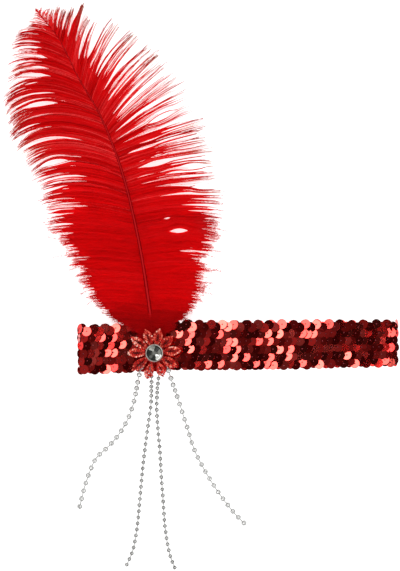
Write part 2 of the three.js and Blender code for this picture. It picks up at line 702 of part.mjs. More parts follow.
const headband = new THREE.Group();
headband.add(
  makeBand(),
  makePlume(),
  makeBacking(),
  ...PETALS.map(makePetal),
  makeSetting(),
  makeStone(),
  ...makeStrands()
);

export default headband;
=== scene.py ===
# Dresses the flapper headband: a sequinned stretch band folded flat, an ostrich plume, a flower
# of beaded loops round a rhinestone, and four strings of beads. Metres, in the model's frame.
import math

import bpy
import numpy as np
from bpy.props import FloatProperty, FloatVectorProperty, IntProperty, PointerProperty
from mathutils import Matrix, Vector


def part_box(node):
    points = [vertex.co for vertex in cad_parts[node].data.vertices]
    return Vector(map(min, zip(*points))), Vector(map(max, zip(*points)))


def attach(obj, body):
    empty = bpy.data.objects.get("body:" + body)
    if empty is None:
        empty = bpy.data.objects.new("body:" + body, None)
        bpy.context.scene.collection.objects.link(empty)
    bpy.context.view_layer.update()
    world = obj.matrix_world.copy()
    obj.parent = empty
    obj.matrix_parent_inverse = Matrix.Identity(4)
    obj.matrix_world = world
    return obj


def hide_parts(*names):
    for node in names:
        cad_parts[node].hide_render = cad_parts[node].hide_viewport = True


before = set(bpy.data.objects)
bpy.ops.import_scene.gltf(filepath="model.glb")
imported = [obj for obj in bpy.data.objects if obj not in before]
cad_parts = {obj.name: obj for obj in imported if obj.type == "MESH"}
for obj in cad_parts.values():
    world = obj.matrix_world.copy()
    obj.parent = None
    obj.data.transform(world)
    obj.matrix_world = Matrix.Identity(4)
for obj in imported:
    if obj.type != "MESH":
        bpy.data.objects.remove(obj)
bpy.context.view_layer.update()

bl_info = {
    "name": "Flapper Headband Dressing",
    "version": (1, 0, 0),
    "blender": (4, 5, 0),
    "location": "3D View > Sidebar > Headband",
    "description": "Models the sequins, plume, flower and bead strings of a flapper headband",
    "category": "Add Mesh",
}

MM = 0.001

# The band's build. Its length and heights come from the frame.
BAND_LOW, BAND_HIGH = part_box("sequin_band")
BAND_WALL = 2.4 * MM
HEAD_GAP = 5 * MM
END_LIFT = 1 * MM
END_LIFT_REACH = 26 * MM
BAND_DROOP = 3 * MM
BAND_DROOP_REACH = 80 * MM
BAND_TOP = HEAD_GAP + 2 * BAND_WALL
LAYER_RADIUS = (HEAD_GAP + BAND_WALL) / 2
FOLD_RADIUS = LAYER_RADIUS + END_LIFT / 2
HALF_STRAIGHT = (BAND_HIGH[0] - BAND_LOW[0]) / 2 - FOLD_RADIUS - BAND_WALL / 2
LOOP_LENGTH = 4 * HALF_STRAIGHT + 2 * math.pi * FOLD_RADIUS
ELASTIC_THICKNESS = 0.8 * MM
ELASTIC_OFFSET = -(BAND_WALL - ELASTIC_THICKNESS) / 2
RIGHT_END_RISE = 1.3 * MM
RIGHT_END_NARROWING = 0.07

# The sequins: how thick their film is, and how wide the hole as a share of the sequin. They
# stand off their place on the band by so many millimetres in the first row, and by so many more
# with each row. Those at the back lie flatter, at a share of the slant.
SEQUIN_FILM = 0.12 * MM
SEQUIN_HOLE = 0.16
FRONT_STAND = (0.3, 0.08)
BACK_STAND = (0.1, 0.04)
BACK_TILT = 0.3
SEQUIN_CLEARANCE = 0.1 * MM

# Sequins that catch the light lean and roll by so many degrees. Their tints lie in the first
# range, which paints them paler as a painted highlight, and those of the others in the second.
GLINT_LEAN = (14, 17)
GLINT_ROLL = (11, 13)
GLINT_TINT = (0.55, 1)
DULL_TINT = (0, 0.8)

# The flower's centre, and the heights that its pieces sit at.
BACKING_LOW, BACKING_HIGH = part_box("flower_backing")
FLOWER = Vector(((BACKING_LOW[0] + BACKING_HIGH[0]) / 2, (BACKING_LOW[1] + BACKING_HIGH[1]) / 2))
PETAL_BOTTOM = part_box("petal_01")[0][2]
SETTING_LOW, SETTING_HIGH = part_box("stone_setting")
STONE_LOW, STONE_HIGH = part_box("rhinestone")

# Sequins of the front that lie tipped to the light: chosen places from the band's middle, in
# millimetres.
GLINTS = [
    (-105.3, 11.9), (-96.2, 4.2), (-88.5, 4.9), (-81.5, 2.8),
    (-92.0, -6.3), (-86.8, -5.9), (-92.0, -14.7), (-87.1, 15.4),
    (-39.5, 7.7), (-32.5, 15.4), (-33.2, 8.4), (-33.9, 2.1),
    (-33.2, -3.5), (-19.9, -15.4), (-10.8, 12.6), (-5.9, 12.6),
    (-1.0, 13.3), (-12.9, 7.7), (-8.8, 1.4), (-1.0, 2.1),
    (-8.0, -3.5), (-1.8, -3.5), (-10.8, -10.5), (-1.0, -10.5),
    (6.6, -10.5), (11.5, -14.7), (19.9, -11.2), (24.8, -14.7),
    (21.3, -7.0), (14.3, 2.1), (21.3, 2.1), (20.6, 7.0),
    (29.0, 8.4), (29.0, -0.7), (36.0, -0.7), (33.9, 16.1),
    (34.6, -9.8), (45.8, 13.3), (45.8, 7.7), (50.0, 6.3),
    (53.5, 9.1), (56.3, 12.6), (45.1, -13.3), (58.4, -12.6),
    (81.5, -11.9), (76.6, -7.0), (110.2, -1.4), (102.5, -9.1),
    (105.3, -14.0),
]

# The plume's length from the flower's centre to the tip, and its shaft from above as shares of it.
PLUME_LENGTH = 254 * MM
SHAFT_LINE = [
    {"across": 0, "along": 0},
    {"across": -0.018, "along": 0.155},
    {"across": -0.046, "along": 0.32},
    {"across": -0.088, "along": 0.492},
    {"across": -0.145, "along": 0.643},
    {"across": -0.206, "along": 0.75},
    {"across": -0.262, "along": 0.86},
    {"across": -0.328, "along": 0.945},
]
SHAFT_STEPS = 240

# Heights of the shaft over the floor, over the band, and over the barbs that it lies among.
SHAFT_HEIGHT = 8 * MM
TIP_HEIGHT = 10 * MM
SHAFT_OVER_BAND = 1.25 * MM
SHAFT_OVER_BARBS = 0.5 * MM

# The quill starts so far from the flower's centre.
QUILL_START = 3.9 * MM
QUILL_RADIUS = 1.45 * MM
QUILL_TIP_RADIUS = 0.3 * MM
QUILL_STEPS = 90

# Shares of the shaft where the barbs leave the band, and where they are down on the floor.
OFF_BAND = 0.122
ON_FLOOR = 0.26

# The locks that the barbs gather in on each side: at = where they leave the shaft, as a share of
# its length, x and y = where the longest barbs end, in millimetres from the flower's centre,
# bow = degrees that they arch towards the plume's tip, spread = millimetres between their ends,
# full = share of the barbs that reach so far.
RIGHT_LOCKS = [
    {"at": 0.99, "x": -79.5, "y": 241.8, "bow": 2, "spread": 3.1, "full": 0.8},
    {"at": 0.96, "x": -74.7, "y": 241.1, "bow": 3, "spread": 3.1, "full": 0.8},
    {"at": 0.935, "x": -71.2, "y": 243.2, "bow": 3, "spread": 2.5, "full": 0.7},
    {"at": 0.92, "x": -67.0, "y": 245.3, "bow": 4, "spread": 1.9, "full": 0.6},
    {"at": 0.9, "x": -62.8, "y": 241.8, "bow": 5, "spread": 2.5, "full": 0.6},
    {"at": 0.88, "x": -57.2, "y": 243.9, "bow": 5, "spread": 3.5, "full": 0.7},
    {"at": 0.84, "x": -49.5, "y": 247.2, "bow": 4, "spread": 0.8, "full": 1},
    {"at": 0.802, "x": -45.3, "y": 238.3, "bow": 8, "spread": 4, "full": 0.45},
    {"at": 0.778, "x": -36.9, "y": 240.4, "bow": 10, "spread": 1.9, "full": 0.12},
    {"at": 0.746, "x": -25.7, "y": 234.1, "bow": 12, "spread": 9, "full": 0.6},
    {"at": 0.706, "x": -12.4, "y": 225.0, "bow": 12, "spread": 9, "full": 0.6},
    {"at": 0.676, "x": -1.9, "y": 215.9, "bow": 11, "spread": 5, "full": 0.55},
    {"at": 0.653, "x": 3.8, "y": 211.7, "bow": 10, "spread": 4, "full": 0.6},
    {"at": 0.631, "x": 9.3, "y": 204.7, "bow": 10, "spread": 6, "full": 0.55},
    {"at": 0.607, "x": 19.1, "y": 194.2, "bow": 8, "spread": 14, "full": 0.5},
    {"at": 0.589, "x": 25.4, "y": 183.0, "bow": 6, "spread": 8.1, "full": 0.5},
    {"at": 0.574, "x": 31.0, "y": 173.9, "bow": 4, "spread": 8.1, "full": 0.4},
    {"at": 0.56, "x": 37.3, "y": 164.8, "bow": 4, "spread": 4, "full": 0.4},
    {"at": 0.543, "x": 39.4, "y": 158.5, "bow": 4, "spread": 6, "full": 0.65},
    {"at": 0.522, "x": 40.8, "y": 149.4, "bow": 6, "spread": 6.9, "full": 0.7},
    {"at": 0.5, "x": 43.6, "y": 141.7, "bow": 6, "spread": 6.9, "full": 0.7},
    {"at": 0.475, "x": 45.0, "y": 133.3, "bow": 8, "spread": 6.9, "full": 0.65},
    {"at": 0.45, "x": 46.4, "y": 124.2, "bow": 9, "spread": 8.1, "full": 0.65},
    {"at": 0.425, "x": 49.2, "y": 113.7, "bow": 10, "spread": 5, "full": 0.6},
    {"at": 0.4, "x": 51.3, "y": 106.7, "bow": 9, "spread": 6.9, "full": 0.6},
    {"at": 0.375, "x": 49.9, "y": 98.3, "bow": 9, "spread": 6.9, "full": 0.6},
    {"at": 0.345, "x": 45.0, "y": 91.3, "bow": 10, "spread": 7, "full": 0.7},
    {"at": 0.315, "x": 45.8, "y": 82.9, "bow": 16, "spread": 6, "full": 0.9},
    {"at": 0.28, "x": 40.8, "y": 73.8, "bow": 10, "spread": 8, "full": 0.75},
    {"at": 0.25, "x": 36.6, "y": 65.4, "bow": 8, "spread": 8, "full": 0.75},
    {"at": 0.22, "x": 38.0, "y": 56.3, "bow": 8, "spread": 8, "full": 0.75},
    {"at": 0.19, "x": 35.2, "y": 47.9, "bow": 7, "spread": 8, "full": 0.75},
    {"at": 0.16, "x": 32.4, "y": 39.5, "bow": 6, "spread": 8, "full": 0.75},
    {"at": 0.13, "x": 28.2, "y": 31.8, "bow": 5, "spread": 7, "full": 0.75},
    {"at": 0.1, "x": 21.9, "y": 25.5, "bow": 4, "spread": 6, "full": 0.8},
    {"at": 0.075, "x": 17.0, "y": 21.3, "bow": 3, "spread": 5, "full": 0.8},
    {"at": 0.055, "x": 12.8, "y": 16.4, "bow": 2, "spread": 5, "full": 0.8},
    {"at": 0.036, "x": 7.9, "y": 12.2, "bow": 2, "spread": 4, "full": 0.8},
]
LEFT_LOCKS = [
    {"at": 0.99, "x": -85.2, "y": 241.8, "bow": 6, "spread": 1.9, "full": 0.8},
    {"at": 0.965, "x": -85.2, "y": 236.2, "bow": 8, "spread": 4, "full": 0.8},
    {"at": 0.935, "x": -88.7, "y": 231.3, "bow": 10, "spread": 4, "full": 0.8},
    {"at": 0.91, "x": -91.5, "y": 227.1, "bow": 14, "spread": 4, "full": 0.7},
    {"at": 0.885, "x": -97.7, "y": 222.9, "bow": 18, "spread": 4, "full": 0.6},
    {"at": 0.865, "x": -99.8, "y": 218.7, "bow": 20, "spread": 4, "full": 0.5},
    {"at": 0.845, "x": -101.8, "y": 213.8, "bow": 20, "spread": 4, "full": 0.5},
    {"at": 0.825, "x": -102.5, "y": 209.6, "bow": 20, "spread": 3.1, "full": 0.35},
    {"at": 0.805, "x": -105.3, "y": 206.1, "bow": 20, "spread": 1.9, "full": 0.15},
    {"at": 0.785, "x": -105.3, "y": 199.1, "bow": 24, "spread": 4, "full": 0.7},
    {"at": 0.765, "x": -105.3, "y": 192.8, "bow": 26, "spread": 4, "full": 0.6},
    {"at": 0.745, "x": -107.5, "y": 189.3, "bow": 26, "spread": 3.1, "full": 0.2},
    {"at": 0.725, "x": -104.7, "y": 182.3, "bow": 28, "spread": 5, "full": 0.8},
    {"at": 0.7, "x": -107.5, "y": 174.6, "bow": 30, "spread": 6.9, "full": 0.8},
    {"at": 0.675, "x": -105.3, "y": 167.6, "bow": 30, "spread": 5, "full": 0.7},
    {"at": 0.65, "x": -104.7, "y": 158.5, "bow": 30, "spread": 6.9, "full": 0.8},
    {"at": 0.62, "x": -103.2, "y": 152.2, "bow": 28, "spread": 5, "full": 0.9},
    {"at": 0.595, "x": -101.8, "y": 147.3, "bow": 27, "spread": 5, "full": 0.8},
    {"at": 0.57, "x": -98.3, "y": 142.4, "bow": 26, "spread": 5, "full": 0.8},
    {"at": 0.545, "x": -95.5, "y": 137.5, "bow": 24, "spread": 5, "full": 0.6},
    {"at": 0.52, "x": -92.0, "y": 131.9, "bow": 24, "spread": 5, "full": 0.7},
    {"at": 0.495, "x": -89.2, "y": 124.9, "bow": 24, "spread": 5, "full": 0.7},
    {"at": 0.47, "x": -87.8, "y": 120.0, "bow": 20, "spread": 4, "full": 0.7},
    {"at": 0.445, "x": -83.8, "y": 114.4, "bow": 18, "spread": 5, "full": 0.55},
    {"at": 0.415, "x": -83.8, "y": 107.4, "bow": 14, "spread": 6.9, "full": 0.6},
    {"at": 0.385, "x": -79.5, "y": 101.8, "bow": 12, "spread": 6, "full": 0.6},
    {"at": 0.355, "x": -76.8, "y": 93.4, "bow": 9, "spread": 8, "full": 0.75},
    {"at": 0.325, "x": -76.1, "y": 86.4, "bow": 8, "spread": 7, "full": 0.65},
    {"at": 0.295, "x": -69.1, "y": 78.7, "bow": 7, "spread": 8, "full": 0.6},
    {"at": 0.265, "x": -63.5, "y": 70.3, "bow": 6, "spread": 8, "full": 0.65},
    {"at": 0.235, "x": -60.0, "y": 61.9, "bow": 6, "spread": 7, "full": 0.7},
    {"at": 0.205, "x": -55.8, "y": 54.9, "bow": 6, "spread": 7, "full": 0.7},
    {"at": 0.175, "x": -50.9, "y": 46.5, "bow": 6, "spread": 7, "full": 0.75},
    {"at": 0.145, "x": -46.0, "y": 38.1, "bow": 6, "spread": 7, "full": 0.75},
    {"at": 0.115, "x": -39.7, "y": 31.1, "bow": 6, "spread": 6, "full": 0.75},
    {"at": 0.09, "x": -32.7, "y": 24.8, "bow": 5, "spread": 6, "full": 0.75},
    {"at": 0.07, "x": -23.6, "y": 20.6, "bow": 4, "spread": 5, "full": 0.8},
    {"at": 0.055, "x": -15.2, "y": 16.4, "bow": 3, "spread": 5, "full": 0.8},
    {"at": 0.036, "x": -9.6, "y": 12.2, "bow": 2, "spread": 4, "full": 0.8},
]

# Lens-shaped openings between locks: where their middles are from the flower's centre, how far
# they turn from +X in degrees, and their half lengths and half widths, all in millimetres.
PARTINGS = [
    {"x": -78.8, "y": 173.6, "turn": 17, "long": 13.3, "wide": 1.7},
    {"x": -69.8, "y": 133.6, "turn": 14, "long": 11.2, "wide": 1.9},
    {"x": -81.7, "y": 193.8, "turn": -1, "long": 12.6, "wide": 1.0},
    {"x": -61.4, "y": 115.1, "turn": -3, "long": 5.6, "wide": 0.8},
    {"x": -76.8, "y": 206.1, "turn": -29, "long": 9.1, "wide": 0.8},
    {"x": -80.2, "y": 199.4, "turn": -8, "long": 7.7, "wide": 0.9},
    {"x": -74.7, "y": 181.6, "turn": 8, "long": 8.4, "wide": 0.6},
    {"x": -87.2, "y": 187.9, "turn": 14, "long": 7.0, "wide": 0.6},
    {"x": 1.6, "y": 131.6, "turn": 17, "long": 10.5, "wide": 1.4},
    {"x": 35.2, "y": 116.5, "turn": 8, "long": 10.5, "wide": 1.8},
    {"x": 17.0, "y": 85.3, "turn": -11, "long": 9.1, "wide": 3.0},
    {"x": 9.0, "y": 94.1, "turn": 0, "long": 4.2, "wide": 1.8},
    {"x": -5.4, "y": 148.0, "turn": 8, "long": 10.5, "wide": 0.8},
    {"x": -8.2, "y": 142.4, "turn": 10, "long": 11.9, "wide": 1.0},
    {"x": 2.3, "y": 138.2, "turn": -3, "long": 5.6, "wide": 0.9},
    {"x": 26.8, "y": 130.1, "turn": 0, "long": 9.1, "wide": 1.3},
    {"x": 5.1, "y": 164.8, "turn": 33, "long": 11.9, "wide": 2.1},
    {"x": 14.2, "y": 127.0, "turn": -6, "long": 7.0, "wide": 0.6},
    {"x": -41.8, "y": 220.1, "turn": 78, "long": 16.8, "wide": 1.7},
    {"x": 24.8, "y": 143.8, "turn": 12, "long": 9.8, "wide": 0.7},
]

# Level ovals, given in the same way, in which the locks are thin and the floor shows through:
# open = how much of them is taken away in the middle.
THIN_PLACES = [
    {"x": -59.2, "y": 121.8, "long": 15.4, "wide": 2.8, "open": 0.38},
    {"x": -60.8, "y": 103.5, "long": 13, "wide": 4.2, "open": 0.42},
    {"x": -47.4, "y": 66.1, "long": 7, "wide": 2.8, "open": 0.4},
    {"x": 21.2, "y": 106.7, "long": 19.6, "wide": 6.3, "open": 0.1},
    {"x": -20.8, "y": 176.7, "long": 11.2, "wide": 11.2, "open": 0.25},
    {"x": -64.8, "y": 89.2, "long": 9, "wide": 3.5, "open": 0.4},
    {"x": 24.8, "y": 71.7, "long": 8.4, "wide": 4.2, "open": 0.4},
]

# How the strands of barbs lie on each side of the shaft. A pair is for their lower and upper
# part, which rises = shares of the shaft tells apart. way = 1 to the right, together = how far
# the strands fill the room between the locks, dense = share of a strand in which its barbs lie
# side by side, tight = its width past that, as a share of its room, gaps = share of strands that
# open early, cling = how much the barbs gather, slim = how much a strand narrows, bow = degrees
# that strands differ by, droop = how much more they bend at the tip than at the root, tone = how
# far they take on the tips' colour, fluff = millimetres that the fluff stands past its locks.
SIDES = {
    "right": {
        "locks": RIGHT_LOCKS, "seed": 13, "way": 1, "rises": (0.45, 0.65), "together": (0, 0),
        "dense": (0.42, 0.28), "tight": (0.5, 0.22), "gaps": 0.2, "cling": 1, "slim": 1,
        "bow": 2.5, "droop": 1, "tone": 1, "fluff": 2.2,
    },
    "left": {
        "locks": LEFT_LOCKS, "seed": 9, "way": -1, "rises": (0.7, 0.85), "together": (0.75, 0.3),
        "dense": (0.5, 0.42), "tight": (0.84, 0.5), "gaps": 0, "cling": 0.7, "slim": 0.35,
        "bow": 1.5, "droop": 1.6, "tone": 0.85, "fluff": 1.2,
    },
}
FLUFF = {"dense": 0.85, "tight": 1.2, "cling": 0.05, "bow": 0.8, "tone": 0.74}

# Values in the fluff and in the fronds, in that order.
STRAND_SPACING = (2.4, 1.7)  # millimetres between the ends of neighbouring strands
RAGGEDNESS = (2.8, 2.4)  # millimetres that their lengths differ by
STRAND_TINT = (0.45, 0.54)
STRAND_TINT_RANGE = (0.05, 0.2)
BARB_TINT_RANGE = (0.06, 0.26)
STRAYS = (0.16, 0.08)  # share of barbs that leave their strand
HAIR_LENGTH = (1.6, 0.7)  # of the barbules, as shares of their length in the settings
HAIR_SPACING = (0.9, 1.7)  # millimetres between barbules
CORE_WIDTH = (1.05, 0.8)  # of a strand's dense middle, as a share of its room at the shaft
CORE_THICKNESS = (0.08, 0.22)  # half of it, in millimetres
CORE_TONE = (0.5, 0.75)  # how far it takes on the tips' colour

# Millimetres that a barb lies over the band, over the floor and at the shaft, and that it arches.
BARB_OVER_BAND = (0.6, 2.4)
BARB_OVER_FLOOR = (0.4, 4.5)
BARB_AT_SHAFT = (-0.3, 0.9)
BARB_ARCH = (0.3, 3.4)
BARB_LOWEST = 0.3 * MM
BARBS_OVER_QUILL = 1.3 * MM  # at its foot, where they cover it

# Heights of the strands' middles, and degrees that barbs differ in bow from their strand.
CORE_OVER_BAND = 0.8 * MM
CORE_OVER_FLOOR = 0.6 * MM
CORE_UNDER_SHAFT = 0.7 * MM
CORE_ARCH = 1 * MM
BARB_BOW = 2.5
STRAY_BOW = 9

SHORT_BARB = (0.45, 0.88)  # reach of the barbs that end early, as a share of their strand's
LONGER_STRAY = 0.18  # how much further than the others a stray barb of the fluff can reach
LEAST_STRAND = 0.32 * MM
TALL_LOCK = {"dense": 0.75, "tight": 0.7 * MM}  # where all barbs reach as far
TUFT = 0.94  # share of the shaft from which single barbs stand free
BARB_STEPS = 12
CORE_STEPS = 20
BARB_TIP_RADIUS = 0.13 * MM
HAIR_RADIUS = 0.08 * MM

# Stretches of the shaft whose barbs make one piece: close = how close together they grow.
STRETCHES = [
    {"name": "lower", "first": 0.028, "last": 0.5, "close": 1},
    {"name": "upper", "first": 0.5, "last": 0.995, "close": 1.5},
]

# The petals: turn = degrees clockwise from +Y, reach = share of the longest petal, lit = how
# much brighter than its foot the tip is.
PETALS = [
    {"turn": -21.5, "reach": 0.88, "lit": 0.1},
    {"turn": 12.5, "reach": 0.87, "lit": 0.05},
    {"turn": 48, "reach": 0.87, "lit": 0},
    {"turn": 84, "reach": 0.96, "lit": 0.05},
    {"turn": 122, "reach": 0.93, "lit": 0},
    {"turn": 159, "reach": 0.89, "lit": 0.05},
    {"turn": 195.5, "reach": 0.96, "lit": 0.05},
    {"turn": 232.5, "reach": 1, "lit": -0.1},
    {"turn": 270, "reach": 0.96, "lit": 0.05},
    {"turn": 303.5, "reach": 0.99, "lit": 0.16},
]

PETAL_ROOT = 4.6 * MM
HANGING_WITHIN = 25  # degrees from straight down, in which petals hang and have wide inner loops

# The strings' routes from above: chosen points from the flower's centre in millimetres.
STRAND_ROUTES = {
    "strand_outer_left": [
        (-3, -2.7), (-8.4, -7.4), (-10.2, -13.6), (-12.5, -24.6), (-15, -36), (-18.9, -46.9),
        (-24.9, -57.2), (-32.7, -66.3), (-41, -74.1), (-46.1, -85), (-49.8, -96.7), (-53, -110),
    ],
    "strand_inner_left": [
        (-1.3, -3.8), (-3, -10.4), (-2, -17), (-2.3, -25), (-2.8, -37.6), (-4.6, -50.6),
        (-6.9, -67.8), (-8.8, -85), (-10.4, -102.4), (-12, -119.8), (-13.9, -132.5),
        (-16, -140.8), (-20.2, -150.3),
    ],
    "strand_inner_right": [
        (1.4, -3.7), (2.8, -9.5), (2.8, -17.5), (1.9, -26.2), (1.4, -39), (2.1, -52),
        (3.6, -69.4), (4.6, -86.9), (5.9, -104.1), (7.1, -121.5), (8.9, -134.1),
        (10.8, -142.7), (14.5, -152.4),
    ],
    "strand_outer_right": [
        (3.4, -2.1), (7.4, -4.8), (9, -10), (10.4, -14.4), (13.3, -23.5), (16.9, -34.6),
        (22.3, -51.2), (27.6, -67.8), (35.4, -83.4), (44.6, -98.1), (55, -111.8),
        (63.9, -121.1),
    ],
}
STRAND_STEPS = 160
THREAD_RADIUS = 0.42 * MM

# Where a string leaves the flower's post, where its first bead is, and where it goes down to the
# floor below the band: distances from the flower's centre.
POST_RADIUS = 3.6 * MM
FIRST_BEAD = 9.4 * MM
DROP_START = 17 * MM
DROP_END = 33 * MM
OVER_BAND = 0.3 * MM
OVER_FLOOR = 0.05 * MM
POST_HEIGHT = (BAND_TOP + OVER_BAND + BAND_TOP + 2.5 * MM) / 2

# The stone: its pavilion under the girdle, and the rows of its crown, each with its width as a
# share of the stone and its share of the crown's height.
STONE_SIDES = 16
STONE_PAVILION = 1.6 * MM
STONE_GIRDLE = 0.2 * MM
CROWN = [{"width": 0.84, "rise": 0.45}, {"width": 0.5, "rise": 0.45}, {"width": 0.2, "rise": 0.1}]
# The table's share of the stone's width, and the brightness painted on it: a painted reflection.
TABLE_SHARE = 0.36
TABLE_PAINTED_LIGHT = 0.2

# How bright the stone's facets are painted, from a bearing in degrees (from +X, anticlockwise)
# onwards: painted reflections of the lights, with a painted highlight on the lower right.
PAINTED_FACETS = [
    {"from": 0, "depth": 0.3}, {"from": 25, "depth": 0.02}, {"from": 82, "depth": 0.42},
    {"from": 138, "depth": 0.02}, {"from": 215, "depth": 0.1}, {"from": 245, "depth": 0.03},
    {"from": 290, "depth": 1.0}, {"from": 340, "depth": 0.2},
]

# The felt, and the cup: how much narrower it is than its solid, its rolled rim, the gap round the
# stone, the ledge inside, and the dish below the ledge.
FELT_THICKNESS = 1.3 * MM
CUP_FLOOR = PETAL_BOTTOM + 2 * MM
CUP_POST_RADIUS = 2.6 * MM
CUP_NARROWER = 0.3 * MM
CUP_RIM = 0.4 * MM
CUP_GAP = 0.05 * MM
CUP_LEDGE_DEPTH = 1 * MM
CUP_LEDGE_WIDTH = 0.5 * MM
CUP_DISH_DEPTH = 1.5 * MM

# The middle of the picture on the floor, the height at which it has its scale, the softboxes'
# brightness, and the floor's height.
PICTURE_MIDDLE = Vector((-26.25 * MM, 41.65 * MM, 0))
SCALE_HEIGHT = 5 * MM
SOFTBOX_BRIGHTNESS = 6.3
FLOOR_HEIGHT = -0.2 * MM


class BandSettings(bpy.types.PropertyGroup):
    sequin_diameter: FloatProperty(
        name="Sequin Diameter", description="Across one sequin",
        default=6.7 * MM, min=2 * MM, unit="LENGTH")
    sequin_pitch: FloatProperty(
        name="Sequin Pitch", description="From one sequin to the next along a row",
        default=4.1 * MM, min=1 * MM, unit="LENGTH")
    rows: IntProperty(
        name="Rows", description="Rows of sequins across the band", default=6, min=1)
    row_pitch: FloatProperty(
        name="Row Pitch", description="From one row to the next",
        default=5.35 * MM, min=1 * MM, unit="LENGTH")
    tilt: FloatProperty(
        name="Tilt", description="How far each sequin leans on the next",
        default=math.radians(8), subtype="ANGLE")
    foil: FloatVectorProperty(
        name="Foil", description="Colour of the metallised film",
        subtype="COLOR", size=3, default=(0.62, 0.02, 0.016), min=0, max=1)
    elastic: FloatVectorProperty(
        name="Elastic", description="Colour of the knitted elastic",
        subtype="COLOR", size=3, default=(0.14, 0.004, 0.006), min=0, max=1)


class PlumeSettings(bpy.types.PropertyGroup):
    barbs: IntProperty(
        name="Barbs", description="Barbs along each side of the shaft", default=760, min=20)
    barb_thickness: FloatProperty(
        name="Barb Thickness", description="Across a barb at its root",
        default=0.34 * MM, min=0.05 * MM, unit="LENGTH")
    barbule: FloatProperty(
        name="Barbule", description="Length of the fine side hairs of a barb",
        default=2.3 * MM, min=0.2 * MM, unit="LENGTH")
    deep: FloatVectorProperty(
        name="Deep Red", description="Colour near the shaft",
        subtype="COLOR", size=3, default=(0.77, 0.0008, 0.0022), min=0, max=1)
    edge: FloatVectorProperty(
        name="Edge Red", description="Colour of the barbs' tips",
        subtype="COLOR", size=3, default=(0.36, 0.006, 0.01), min=0, max=1)


class FlowerSettings(bpy.types.PropertyGroup):
    petal_reach: FloatProperty(
        name="Petal Reach", description="From the centre to the longest petal's tip",
        default=20 * MM, min=8 * MM, unit="LENGTH")
    petal_width: FloatProperty(
        name="Petal Width", description="Across a petal's outer loop",
        default=6.8 * MM, min=3 * MM, unit="LENGTH")
    bead: FloatProperty(
        name="Seed Bead", description="Across one seed bead",
        default=1.45 * MM, min=0.5 * MM, unit="LENGTH")
    glass: FloatVectorProperty(
        name="Red Glass", description="Colour of the seed beads",
        subtype="COLOR", size=3, default=(0.64, 0.024, 0.018), min=0, max=1)


class StrandSettings(bpy.types.PropertyGroup):
    outer_bead: FloatProperty(
        name="Outer Bead", description="Across a bead of the outer strings",
        default=3.8 * MM, min=1 * MM, unit="LENGTH")
    outer_pitch: FloatProperty(
        name="Outer Pitch", description="From bead to bead on the outer strings",
        default=5.65 * MM, min=1 * MM, unit="LENGTH")
    inner_bead: FloatProperty(
        name="Inner Bead", description="Across a bead of the inner strings",
        default=2.9 * MM, min=1 * MM, unit="LENGTH")
    inner_pitch: FloatProperty(
        name="Inner Pitch", description="From bead to bead on the inner strings",
        default=4.3 * MM, min=1 * MM, unit="LENGTH")


class StageSettings(bpy.types.PropertyGroup):
    camera_height: FloatProperty(
        name="Camera Height", description="Of the camera over the floor",
        default=1.5, min=0.3, unit="LENGTH")
    frame_height: FloatProperty(
        name="Frame Height", description="Height of the picture, measured on the floor",
        default=399.7 * MM, min=0.1, unit="LENGTH")


def mix(a, b, share):
    return a + (b - a) * share


def ease(start, end, value):
    """A smooth step from 0 at start to 1 at end."""
    share = min(max((value - start) / (end - start), 0), 1)
    return share * share * (3 - 2 * share)


# Modelling helpers

def deselect_all():
    if bpy.context.object and bpy.context.object.mode != "OBJECT":
        bpy.ops.object.mode_set(mode="OBJECT")
    bpy.ops.object.select_all(action="DESELECT")


def pick(obj):
    deselect_all()
    obj.select_set(True)
    bpy.context.view_layer.objects.active = obj


def pick_faces(obj, wanted):
    """Goes into edit mode with just the faces selected that the test wants."""
    pick(obj)
    bpy.ops.object.mode_set(mode="EDIT")
    bpy.ops.mesh.select_all(action="DESELECT")
    bpy.ops.object.mode_set(mode="OBJECT")
    for face in obj.data.polygons:
        face.select = wanted(face)
    bpy.ops.object.mode_set(mode="EDIT")


def apply_modifiers(obj):
    pick(obj)
    for modifier in list(obj.modifiers):
        bpy.ops.object.modifier_apply(modifier=modifier.name)


def apply_place(obj):
    pick(obj)
    bpy.ops.object.transform_apply(location=True, rotation=True, scale=True)


def drop(obj):
    mesh = obj.data
    bpy.data.objects.remove(obj)
    bpy.data.meshes.remove(mesh)


def smooth(obj, degrees=40):
    pick(obj)
    bpy.ops.object.shade_smooth_by_angle(angle=math.radians(degrees))


def mesh_object(name, points, faces=()):
    mesh = bpy.data.meshes.new(name)
    mesh.from_pydata([tuple(p) for p in points], [], list(faces))
    obj = bpy.data.objects.new(name, mesh)
    bpy.context.collection.objects.link(obj)
    return obj


def settle(obj, name, material, slot, *nodes):
    """Names a finished piece, gives it its finish and hides the nodes that it stands for."""
    obj.name = name
    obj.data.name = name
    obj.data.materials.clear()
    obj.data.materials.append(material)
    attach(obj, "root")
    if nodes:
        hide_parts(*nodes)
    return obj


def catmull(points, count):
    """Evenly spaced points on a smooth line through the given ones."""
    points = [Vector(p) for p in points]
    ends = [2 * points[0] - points[1], *points, 2 * points[-1] - points[-2]]
    fine = []
    for a, b, c, d in zip(ends, ends[1:], ends[2:], ends[3:]):
        for step in range(24):
            t = step / 24
            fine.append(0.5 * (2 * b + (c - a) * t + (2 * a - 5 * b + 4 * c - d) * t * t
                               + (3 * b - a - 3 * c + d) * t ** 3))
    fine.append(points[-1])
    return resample(np.array(fine), count)


def lengths_along(line):
    steps = np.linalg.norm(np.diff(line, axis=0), axis=1)
    return np.concatenate([[0], np.cumsum(steps)])


def resample(line, count):
    run = lengths_along(line)
    wanted = np.linspace(0, run[-1], count)
    return np.stack([np.interp(wanted, run, line[:, k]) for k in range(line.shape[1])], axis=1)


def point_at(line, distance):
    run = lengths_along(line)
    return np.array([np.interp(distance, run, line[:, k]) for k in range(line.shape[1])])


